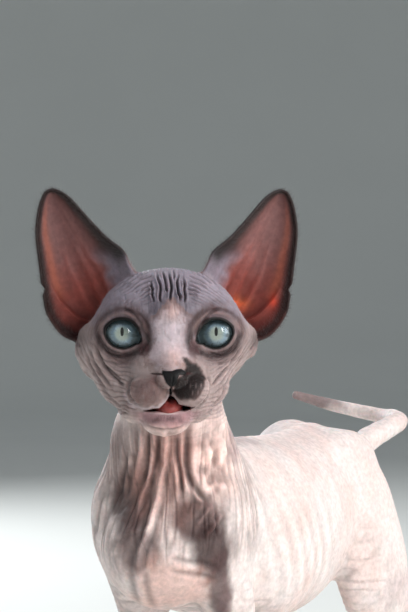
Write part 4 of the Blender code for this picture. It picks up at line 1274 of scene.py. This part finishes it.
def store_tone(mesh, tone):
    store(mesh, "tone", np.column_stack([tone, np.ones(len(tone))]), "FLOAT_COLOR", "color")


def skin_mesh():
    """The skin, meshed from its field, made finer on the head and again on the face, and dressed."""
    points, quads = quads_of(skin_field, SKIN_LOW, SKIN_HIGH, VOXEL)
    mesh = mesh_of(points, quads.tolist(), "skin")
    relax(mesh, 2)
    settle(mesh)
    for k in range(2):
        refine(mesh, near_face(mesh)[k])
        relax(mesh, 1)
        settle(mesh)
    dress(mesh)
    return mesh


def revolve(profile, segments):
    """A surface turned about -Y: rings of radius and place along Y, the first of them a single point."""
    angles = np.arange(segments) * 2 * pi / segments
    points = [(0, profile[0][1], 0)]
    for radius, y in profile[1:]:
        points += [(radius * cos(a), y, radius * sin(a)) for a in angles]
    faces = [(0, 1 + k, 1 + (k + 1) % segments) for k in range(segments)]
    for ring in range(len(profile) - 2):
        first = 1 + ring * segments
        for k in range(segments):
            n = (k + 1) % segments
            faces.append((first + k, first + segments + k, first + segments + n, first + n))
    return points, faces


def on_ball(angle, radius=EYE_RADIUS):
    """A place on a ball's profile at an angle from its front: its distance from the axis, and along Y."""
    return radius * sin(radians(angle)), -radius * cos(radians(angle))


def eye_profiles():
    """The clear dome from its top, and the eye below it: the iris from its middle, then the white."""
    dome = []
    for angle in np.linspace(0, DOME_ANGLE, 20):
        rise = max(0, cos(radians(angle)) - CORNEA_EDGE) / (1 - CORNEA_EDGE)
        dome.append(on_ball(angle, EYE_RADIUS * (1 + CORNEA_RISE * sin(rise * pi / 2) ** 2)))
    edge, front = on_ball(DOME_ANGLE)
    iris = [(edge * k, front + IRIS_DEPTH - IRIS_SWELL * (1 - k**2)) for k in np.linspace(0, 1, 41)]
    return dome, iris + [on_ball(angle) for angle in np.linspace(DOME_ANGLE, 176, 44)]


def iris_tone(points):
    """The colours of the eye by the distance from its axis: slit, iris with its fibres, painted shadow of the
    upper lid across its top, and dark rim.
    """
    x, y, z = points.T
    reach, angle = np.hypot(x, z), np.arctan2(z, x)
    full = on_ball(DOME_ANGLE)[0]
    around = np.column_stack([np.cos(angle) * 9, np.sin(angle) * 9, reach * 0.35])
    fibre = noise(around, 0.5, 51) * 0.6 + noise(around, 1.5, 52) * 0.4
    tone = np.tile(screen(IRIS_BLUE), (len(points), 1))
    paint(tone, IRIS_PALE, 0.8 * ramp(reach, full * 0.5, full * 0.8) + 0.4 * fibre)
    paint(tone, IRIS_GREEN, 0.8 * ramp(reach + 0.5 * fibre, full * 0.6, full * 0.25))
    paint(tone, IRIS_DEEP, 0.6 * ramp(fibre, 0.1, 0.6))
    # Painted shadow of the upper lid across the top of the iris.
    paint(tone, IRIS_DEEP, 0.5 * ramp(z + 0.4 * fibre, 2.4, 4.6))
    up = (z - PUPIL_UP) / PUPIL[1]
    half = PUPIL[0] * np.sqrt(np.clip(1 - up**2, 0, 1))
    paint(tone, BLACK, (np.abs(up) < 1) * ramp(np.abs(x) - half, 0.1, -0.05))
    paint(tone, IRIS_DEEP, 0.4 * ramp(reach, full * 0.95, full))
    paint(tone, EYE_WHITE, ramp(y, -5.2, -2.5))
    return tone


def eye(side, name):
    """The eyeball with its sunk iris, and the clear dome over it."""
    dome, ball = eye_profiles()
    made = []
    for profile, label, segments in ((ball, name, 128), (dome, name + "_dome", 64)):
        points, faces = revolve(profile, segments)
        points = np.array(points)
        tone = iris_tone(points)
        points[:, 1] -= EYE_AHEAD
        mesh = mesh_of(from_head(from_frame(points, *eye_frame(side))), faces, label)
        store_tone(mesh, tone)
        made.append(mesh)
    return made


def tongue_mesh():
    """The tongue, hollowed along its middle and rough with papillae."""
    grid = bmesh.new()
    bmesh.ops.create_uvsphere(grid, u_segments=96, v_segments=64, radius=1)
    mesh = mesh_from(grid, "tongue")
    unit = coordinates(mesh)
    top = ramp(unit[:, 2], 0, 0.6)
    points = unit * np.array(TONGUE[1])
    points[:, 2] -= 0.9 * top * ridge(unit[:, 0], 0, 0.22)
    points[:, 2] += 0.12 * top * noise(points, 0.5, 61)
    points = points + np.array(TONGUE[0])
    points[:, 0] += np.minimum(0, points[:, 2] - LEAN_FROM) * LEAN
    set_coordinates(mesh, from_head(points))
    return mesh


def claw_ring(grid, across, place, way):
    """The points round a claw at one place of its hook, square to the hook's way there."""
    y, z, size = place
    way = way / np.linalg.norm(way)
    ring = []
    for angle in np.arange(CLAW_SIDES) * 2 * pi / CLAW_SIDES:
        aside = CLAW_FLATNESS * size * CLAW_RADIUS * cos(angle)
        out = size * CLAW_RADIUS * sin(angle)
        ring.append(grid.verts.new((across + aside, y - way[1] * out, z + way[0] * out)))
    return ring


def claw_mesh(paw):
    """The four claws of a paw, each a hooked cone at its toe's tip."""
    grid = bmesh.new()
    for across, ahead, length in TOES:
        rows = spline([(y + ahead - length, TOE_MIDDLE + z, size) for y, z, size in CLAW_HOOK], 13)
        ways = np.gradient(rows[:, :2], axis=0)
        rings = [claw_ring(grid, across, row, way) for row, way in zip(rows, ways)]
        for lower, upper in zip(rings, rings[1:]):
            for k in range(CLAW_SIDES):
                n = (k + 1) % CLAW_SIDES
                grid.faces.new((lower[k], lower[n], upper[n], upper[k]))
        grid.faces.new(rings[0][::-1])
        grid.faces.new(rings[-1])
    bmesh.ops.recalc_face_normals(grid, faces=grid.faces)
    mesh = mesh_from(grid, "claws_" + paw)
    set_coordinates(mesh, from_frame(coordinates(mesh), *paw_frame(paw)))
    return mesh


def down_weights(places):
    """How thickly the down grows and how long it is: longest on the rims of the ears."""
    weight, length = np.full(len(places), 0.12), np.full(len(places), 0.8)
    on_head, head = head_part(places)
    x, y, z = upright(head).T
    weight[on_head] += 0.9 * ramp(z, -40, -34)
    weight[on_head] += 1.4 * ridge(z, -20, 12) * ramp(y, 2, -6)
    openings = np.minimum(polygon(x, z, MOUTH_OPENING), polygon(x, z, NOSE_LEATHER))
    bare = (openings < 0.5) & (y < -2)
    for side in (1, -1):
        local, _, outside = eye_polar(head, side)
        bare |= (outside < 1.2) & (local[:, 1] < 4)
    near, along, across, front, on_ear = ear_places(head)
    rim = ear_rim(along, across)
    ear_weight = 0.8 * (1 - ramp(front, -0.2, 0.3)) + 9 * ramp(rim, 3.5, 0.5) * ramp(along, 0.05, 0.15)
    ear = on_head[near]
    weight[ear] = weight[ear] * (1 - on_ear) + on_ear * ear_weight
    length[ear] += on_ear * (0.2 + 0.7 * ramp(rim, 3, 0.5))
    weight[on_head[bare]] = 0
    return weight, length


def turn_share(a, b):
    """An angle round an axis, as a share of the whole turn."""
    return np.arctan2(a, b) / (2 * pi) + 0.5


def down_places(places):
    """Where each root lies on an unwrap of the skin: round the body, the head, the legs and each ear."""
    x, y, z = places.T
    head = in_head(places)
    tile = np.zeros(len(places), int)
    place = np.column_stack([turn_share(x, z - 118), (y + 60) / 290])
    leg, hind = z < 86, y > 60
    tile[leg] = (1 + (x > 0) + 2 * hind)[leg]
    axis_y = np.where(hind, np.where(x > 0, 150, 118), 0)
    place[leg] = np.column_stack([turn_share(np.abs(x) - 21, y - axis_y), z / 90])[leg]
    on_head = (head[:, 2] > -40) & about_skull(head)
    out = head - (0, 14, -6)
    rise = np.arcsin(np.clip(out[:, 2] / lengths(out), -1, 1)) / pi + 0.5
    tile[on_head] = 5
    place[on_head] = np.column_stack([turn_share(out[:, 0], -out[:, 1]), rise])[on_head]
    near, along, across, front, on_ear = ear_places(head)
    ear = on_ear > 0.5
    tile[near[ear]] = 6 + (head[near[ear], 0] > 0) + 2 * (front[ear] > 0)
    place[near[ear]] = np.column_stack([across[ear], along[ear]])
    corner = np.column_stack([tile % 4, tile // 4]) / (4, 3)
    return corner + 0.01 + np.clip(place, 0, 1) * (0.225, 0.308)


def down_flow(roots, up, draw):
    """The way that each hair lies: away from the nose on the head, back and down on the body."""
    head = in_head(roots)
    away = from_frame(head - (0, -26, -14), (0, 0, 0), HEAD_TURN)
    flow = np.where((head[:, 2] > -40)[:, None], away, (0, 1, -0.5))
    flow += draw.normal(0, 0.25, flow.shape) * lengths(flow)[:, None]
    flow -= up * (flow * up).sum(axis=1)[:, None]
    return flow / np.maximum(lengths(flow), 1e-6)[:, None]


def down_tone(skin, chosen):
    """The colour of each hair, a little paler than the skin at its root."""
    first_loop = values_of(skin.polygons, "loop_start", 1)[chosen, 0].astype(int)
    loops = values_of(skin.loops, "vertex_index", 1)[:, 0].astype(int)
    return values_of(skin.attributes["tone"].data, "color", 4)[loops[first_loop], :3] * 0.9 + 0.06


def down_mesh(skin):
    """Short fine hairs over the skin, each three triangles, in the colours of the skin below."""
    centres = values_of(skin.polygons, "center", 3)
    weight, length = down_weights(centres)
    share = np.cumsum(weight * values_of(skin.polygons, "area", 1)[:, 0])
    draw = np.random.default_rng(71)
    chosen = np.unique(np.searchsorted(share, draw.uniform(0, share[-1], DOWN_COUNT)))
    roots, up = centres[chosen], values_of(skin.polygons, "normal", 3)[chosen]
    length = (length[chosen] * draw.uniform(0.6, 1.3, len(chosen)))[:, None]
    flow = down_flow(roots, up, draw)
    side = np.cross(flow, up) * DOWN_WIDTH
    lift = draw.uniform(0.25, 0.9, len(chosen))[:, None]
    first = roots - up * 0.1
    middle = roots + (flow * 0.5 + up * lift * 0.5) * length
    tip = roots + (flow * 1.05 + up * lift * 0.75) * length
    points = np.stack([first - side, first + side, middle + side * 0.6, middle - side * 0.6, tip], axis=1)
    start = np.arange(len(chosen))[:, None] * 5
    faces = np.concatenate([start + (0, 1, 2), start + (0, 2, 3), start + (3, 2, 4)])
    mesh = mesh_of(points.reshape(-1, 3), faces.tolist(), "down")
    store_tone(mesh, np.repeat(down_tone(skin, chosen), 5, axis=0))
    spots = (down_places(roots)[:, None] + np.array(DOWN_SPREAD) * DOWN_SPOT).reshape(-1, 2)
    layer = mesh.uv_layers.new(name="OFBake")
    layer.data.foreach_set("uv", spots[faces.ravel()].astype(np.float32).ravel())
    return mesh


def link(mesh, name):
    obj = bpy.data.objects.new(name, mesh)
    bpy.context.scene.collection.objects.link(obj)
    mesh.shade_smooth()
    return obj


def piece(mesh, slot, material, *nodes):
    """Puts a mesh of the body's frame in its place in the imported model, riding on its body."""
    set_coordinates(mesh, (coordinates(mesh) + ORIGIN) * MM)
    obj = link(mesh, mesh.name)
    mesh.materials.append(material)
    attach(obj, "root")
    if nodes:
        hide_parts(*nodes)
    return obj


class Nodes:
    """A material under construction."""

    def __init__(self, name):
        self.material = bpy.data.materials.new(name)
        self.material.use_nodes = True
        self.tree = self.material.node_tree
        self.shader = self.tree.nodes["Principled BSDF"]

    def add(self, kind, **inputs):
        node = self.tree.nodes.new(kind)
        for name, value in inputs.items():
            self.feed(node.inputs[name.replace("_", " ")], value)
        return node

    def feed(self, socket, value):
        """Links another node's output to a socket, or sets its value."""
        if isinstance(value, bpy.types.NodeSocket):
            self.tree.links.new(value, socket)
        else:
            socket.default_value = value

    def set(self, **inputs):
        for name, value in inputs.items():
            self.feed(self.shader.inputs[name.replace("_", " ")], value)

    def attribute(self, name, output="Color"):
        node = self.tree.nodes.new("ShaderNodeAttribute")
        node.attribute_name = name
        return node.outputs[output]

    def noise(self, scale, detail=3.0, stretch=(1, 1, 1)):
        place = self.tree.nodes.new("ShaderNodeTexCoord").outputs["Object"]
        mapping = self.add("ShaderNodeMapping", Vector=place, Scale=stretch)
        texture = self.add("ShaderNodeTexNoise", Vector=mapping.outputs["Vector"], Scale=scale, Detail=detail)
        return texture.outputs["Fac"]

    def span(self, value, low, high, start=0.0, end=1.0):
        """A value from start to end as one from low to high."""
        node = self.add(
            "ShaderNodeMapRange", Value=value, From_Min=start, From_Max=end, To_Min=low, To_Max=high)
        return node.outputs["Result"]

    def math(self, operation, a, b):
        node = self.tree.nodes.new("ShaderNodeMath")
        node.operation = operation
        self.feed(node.inputs[0], a)
        self.feed(node.inputs[1], b)
        return node.outputs[0]

    def mottled(self, colour, pattern, low, high, start=0.0, end=1.0):
        """The colour made darker and lighter by a pattern."""
        node = self.tree.nodes.new("ShaderNodeVectorMath")
        node.operation = "SCALE"
        self.feed(node.inputs[0], colour)
        self.feed(node.inputs["Scale"], self.span(pattern, low, high, start, end))
        return node.outputs["Vector"]

    def bump(self, height, strength, distance, normal=None):
        node = self.add("ShaderNodeBump", Height=height, Strength=strength, Distance=distance)
        if normal:
            self.feed(node.inputs["Normal"], normal)
        return node.outputs["Normal"]


def skin_material():
    """Thin, warm skin that light enters, with fine down and pores as bump, and a wet black nose."""
    nodes = Nodes("kitten_skin")
    wet = nodes.attribute("wet", "Fac")
    mottle, pores = nodes.noise(520, 5), nodes.noise(1500, 2)
    down = nodes.noise(1900, 2, (1, 1, 0.3))
    tone = nodes.mottled(nodes.attribute("tone"), mottle, 0.87, 1.13, 0.3, 0.7)
    height = nodes.math("ADD", nodes.math("MULTIPLY", pores, 0.6), nodes.math("MULTIPLY", down, 0.5))
    normal = nodes.bump(height, 0.4, 0.00018, nodes.bump(mottle, 0.35, 0.0004))
    nodes.set(
        Base_Color=tone, Roughness=nodes.span(wet, 0.58, 0.5), Normal=normal, Sheen_Weight=0.03,
        Sheen_Roughness=0.4, IOR=1.4, Specular_IOR_Level=0.35, Subsurface_Weight=0.2,
        Subsurface_Scale=0.003, Subsurface_Radius=(1.0, 0.32, 0.2))
    return nodes.material


def down_material():
    """Fine hair in the skin's colours."""
    nodes = Nodes("kitten_down")
    tone = nodes.mottled(nodes.attribute("tone"), nodes.noise(900, 2), 0.85, 1.2, 0.3, 0.7)
    nodes.set(Base_Color=tone, Roughness=0.6, Normal=nodes.bump(nodes.noise(3000, 2), 0.2, 0.0001))
    return nodes.material


def iris_material():
    """The fibres of the iris, softly shining."""
    nodes = Nodes("kitten_iris")
    normal = nodes.bump(nodes.noise(2400, 3), 0.3, 0.0001)
    nodes.set(Base_Color=nodes.attribute("tone"), Roughness=0.35, Normal=normal, Coat_Weight=0.3)
    return nodes.material


def dome_material():
    """A clear wet surface: it lets light straight through and mirrors by its angle."""
    nodes = Nodes("kitten_cornea")
    clear = nodes.tree.nodes.new("ShaderNodeBsdfTransparent")
    gloss = nodes.add("ShaderNodeBsdfGlossy", Roughness=0.03)
    fresnel = nodes.add("ShaderNodeFresnel", IOR=1.55)
    mix = nodes.tree.nodes.new("ShaderNodeMixShader")
    for socket, node in zip(mix.inputs, (fresnel, clear, gloss)):
        nodes.feed(socket, node.outputs[0])
    nodes.feed(nodes.tree.nodes["Material Output"].inputs["Surface"], mix.outputs[0])
    nodes.tree.nodes.remove(nodes.shader)
    return nodes.material


def tongue_material():
    """Rough, moist red flesh."""
    nodes = Nodes("kitten_tongue")
    tone = nodes.mottled(tuple(screen(TONGUE_RED)), nodes.noise(700, 3), 0.7, 1.2)
    nodes.set(
        Base_Color=tone, Roughness=nodes.span(nodes.noise(1600, 2), 0.22, 0.5), Subsurface_Weight=0.3,
        Subsurface_Scale=0.003, Normal=nodes.bump(nodes.noise(2600, 2), 0.5, 0.0003))
    return nodes.material


def claw_material():
    """Pale horn with a fine upright grain."""
    nodes = Nodes("kitten_claw")
    tone = nodes.mottled(tuple(screen(HORN)), nodes.noise(900, 3, (1, 1, 3)), 0.8, 1.15)
    nodes.set(
        Base_Color=tone, Roughness=0.32, Subsurface_Weight=0.3, Subsurface_Scale=0.001,
        Normal=nodes.bump(nodes.noise(1500, 2, (1, 1, 4)), 0.2, 0.0001))
    return nodes.material


def backdrop():
    """A pale floor that curves up into a wall all round."""
    profile = [(radius, 0) for radius in range(4)]
    profile += [(3 + 1.5 * sin(a), 1.5 - 1.5 * cos(a)) for a in np.linspace(0.1, pi / 2, 14)]
    points, faces = revolve(profile + [(4.5, 3), (4.5, 5)], 96)
    mesh = mesh_of([(x, z, y) for x, y, z in points], faces, "backdrop")
    nodes = Nodes("backdrop")
    tone = nodes.mottled(tuple(screen(FLOOR)), nodes.noise(3, 2), 0.96, 1.04)
    nodes.set(Base_Color=tone, Roughness=0.9)
    mesh.materials.append(nodes.material)
    link(mesh, "backdrop")


def studio():
    """The backdrop, a soft light from all round, and the lamps."""
    backdrop()
    world = bpy.data.worlds.new("studio")
    world.use_nodes = True
    background = world.node_tree.nodes["Background"]
    background.inputs["Color"].default_value = WORLD_COLOUR
    background.inputs["Strength"].default_value = WORLD_STRENGTH
    bpy.context.scene.world = world
    bpy.context.scene.view_settings.view_transform = "Standard"
    target = (Vector(HEAD_AT) + Vector(ORIGIN)) * MM
    for name, azimuth, elevation, distance, width, height, power, colour in LIGHTS:
        a, e = radians(azimuth), radians(elevation)
        way = Vector((sin(a) * cos(e), -cos(a) * cos(e), sin(e)))
        place = target + way * distance
        area_light(name, place, target - Vector((0, 0, 0.05)), (width, height), power, colour)


def area_light(name, place, target, size, power, colour):
    """A soft lamp at a place that faces a target."""
    data = bpy.data.lights.new(name, "AREA")
    data.shape = "RECTANGLE"
    data.size, data.size_y = size
    data.energy, data.color = power, colour
    lamp = bpy.data.objects.new(name, data)
    lamp.location = place
    lamp.rotation_euler = (Vector(target) - Vector(place)).to_track_quat("-Z", "Y").to_euler()
    bpy.context.scene.collection.objects.link(lamp)


def camera(world_head):
    """The photograph's view: level with the head, from the kitten's left of its front."""
    turn = radians(VIEW_TURN)
    ahead = Vector((-sin(turn), cos(turn), 0))
    right = Vector((cos(turn), sin(turn), 0))
    data = bpy.data.cameras.new("camera")
    data.lens = LENS
    view = bpy.data.objects.new("camera", data)
    view.location = world_head - ahead * CAMERA_BACK + right * CAMERA_RIGHT + Vector((0, 0, CAMERA_UP))
    view.rotation_euler = (pi / 2, 0, turn)
    bpy.context.scene.collection.objects.link(view)
    bpy.context.scene.camera = view


def packed_origin():
    """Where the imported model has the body's frame, told by the left eye's box."""
    low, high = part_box("eye_left")
    middle = np.array((low + high) / 2) / MM
    return middle - from_head(np.array([eye_frame(1)[0]]))[0]


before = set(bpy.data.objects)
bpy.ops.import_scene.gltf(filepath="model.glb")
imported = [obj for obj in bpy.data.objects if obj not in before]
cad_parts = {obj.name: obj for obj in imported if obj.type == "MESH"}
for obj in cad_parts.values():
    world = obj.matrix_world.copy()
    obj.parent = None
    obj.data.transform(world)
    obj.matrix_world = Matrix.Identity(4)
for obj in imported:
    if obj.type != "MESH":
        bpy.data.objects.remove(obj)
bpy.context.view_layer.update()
ORIGIN = packed_origin()
EAR = Ear()
BODY_FORMS = [torso(), limb(NECK), limb(TAIL), limb(FORELEG), limb(FORELEG, -1)]
BODY_FORMS += [limb(HIND_LEG_BACK), limb(HIND_LEG_FORWARD, -1)]
BODY_FORMS += pairs(BODY_LUMPS) + [ellipsoid(*hip) for hip in HIPS]
HEAD_FORMS = pairs(HEAD_LUMPS)
MUZZLE_FORMS = pairs(MUZZLE_LUMPS)
LID_FORMS = pair(EYE_AT, [EYE_RADIUS + LID] * 3)
NOSE_FORMS = [ellipsoid(*NOSE)]
NOSTRIL_FORMS = [limb(NOSTRIL), limb(NOSTRIL, -1)]
EAR_HOLES = pair(*EAR_CANAL)
EAR_NOTCHES = pair(*EAR_NOTCH)
EAR_FRONTS = [limb(EAR_FRONT), limb(EAR_FRONT, -1)]

skin = skin_mesh()
down = down_mesh(skin)
apart = ("eye_left", "eye_right", "tongue")
piece(skin, "skin", skin_material(), *[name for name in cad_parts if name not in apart])
piece(down, "skin", down_material())
piece(tongue_mesh(), "tongue", tongue_material(), "tongue")
iris, cornea = iris_material(), dome_material()
for side, name in ((1, "left"), (-1, "right")):
    ball, dome = eye(side, "eyeball_" + name)
    piece(ball, "eye", iris, "eye_" + name)
    piece(dome, "eye", cornea)
horn = claw_material()
for paw in PAWS:
    piece(claw_mesh(paw), None, horn)
camera((Vector(HEAD_AT) + Vector(ORIGIN)) * MM)
studio()
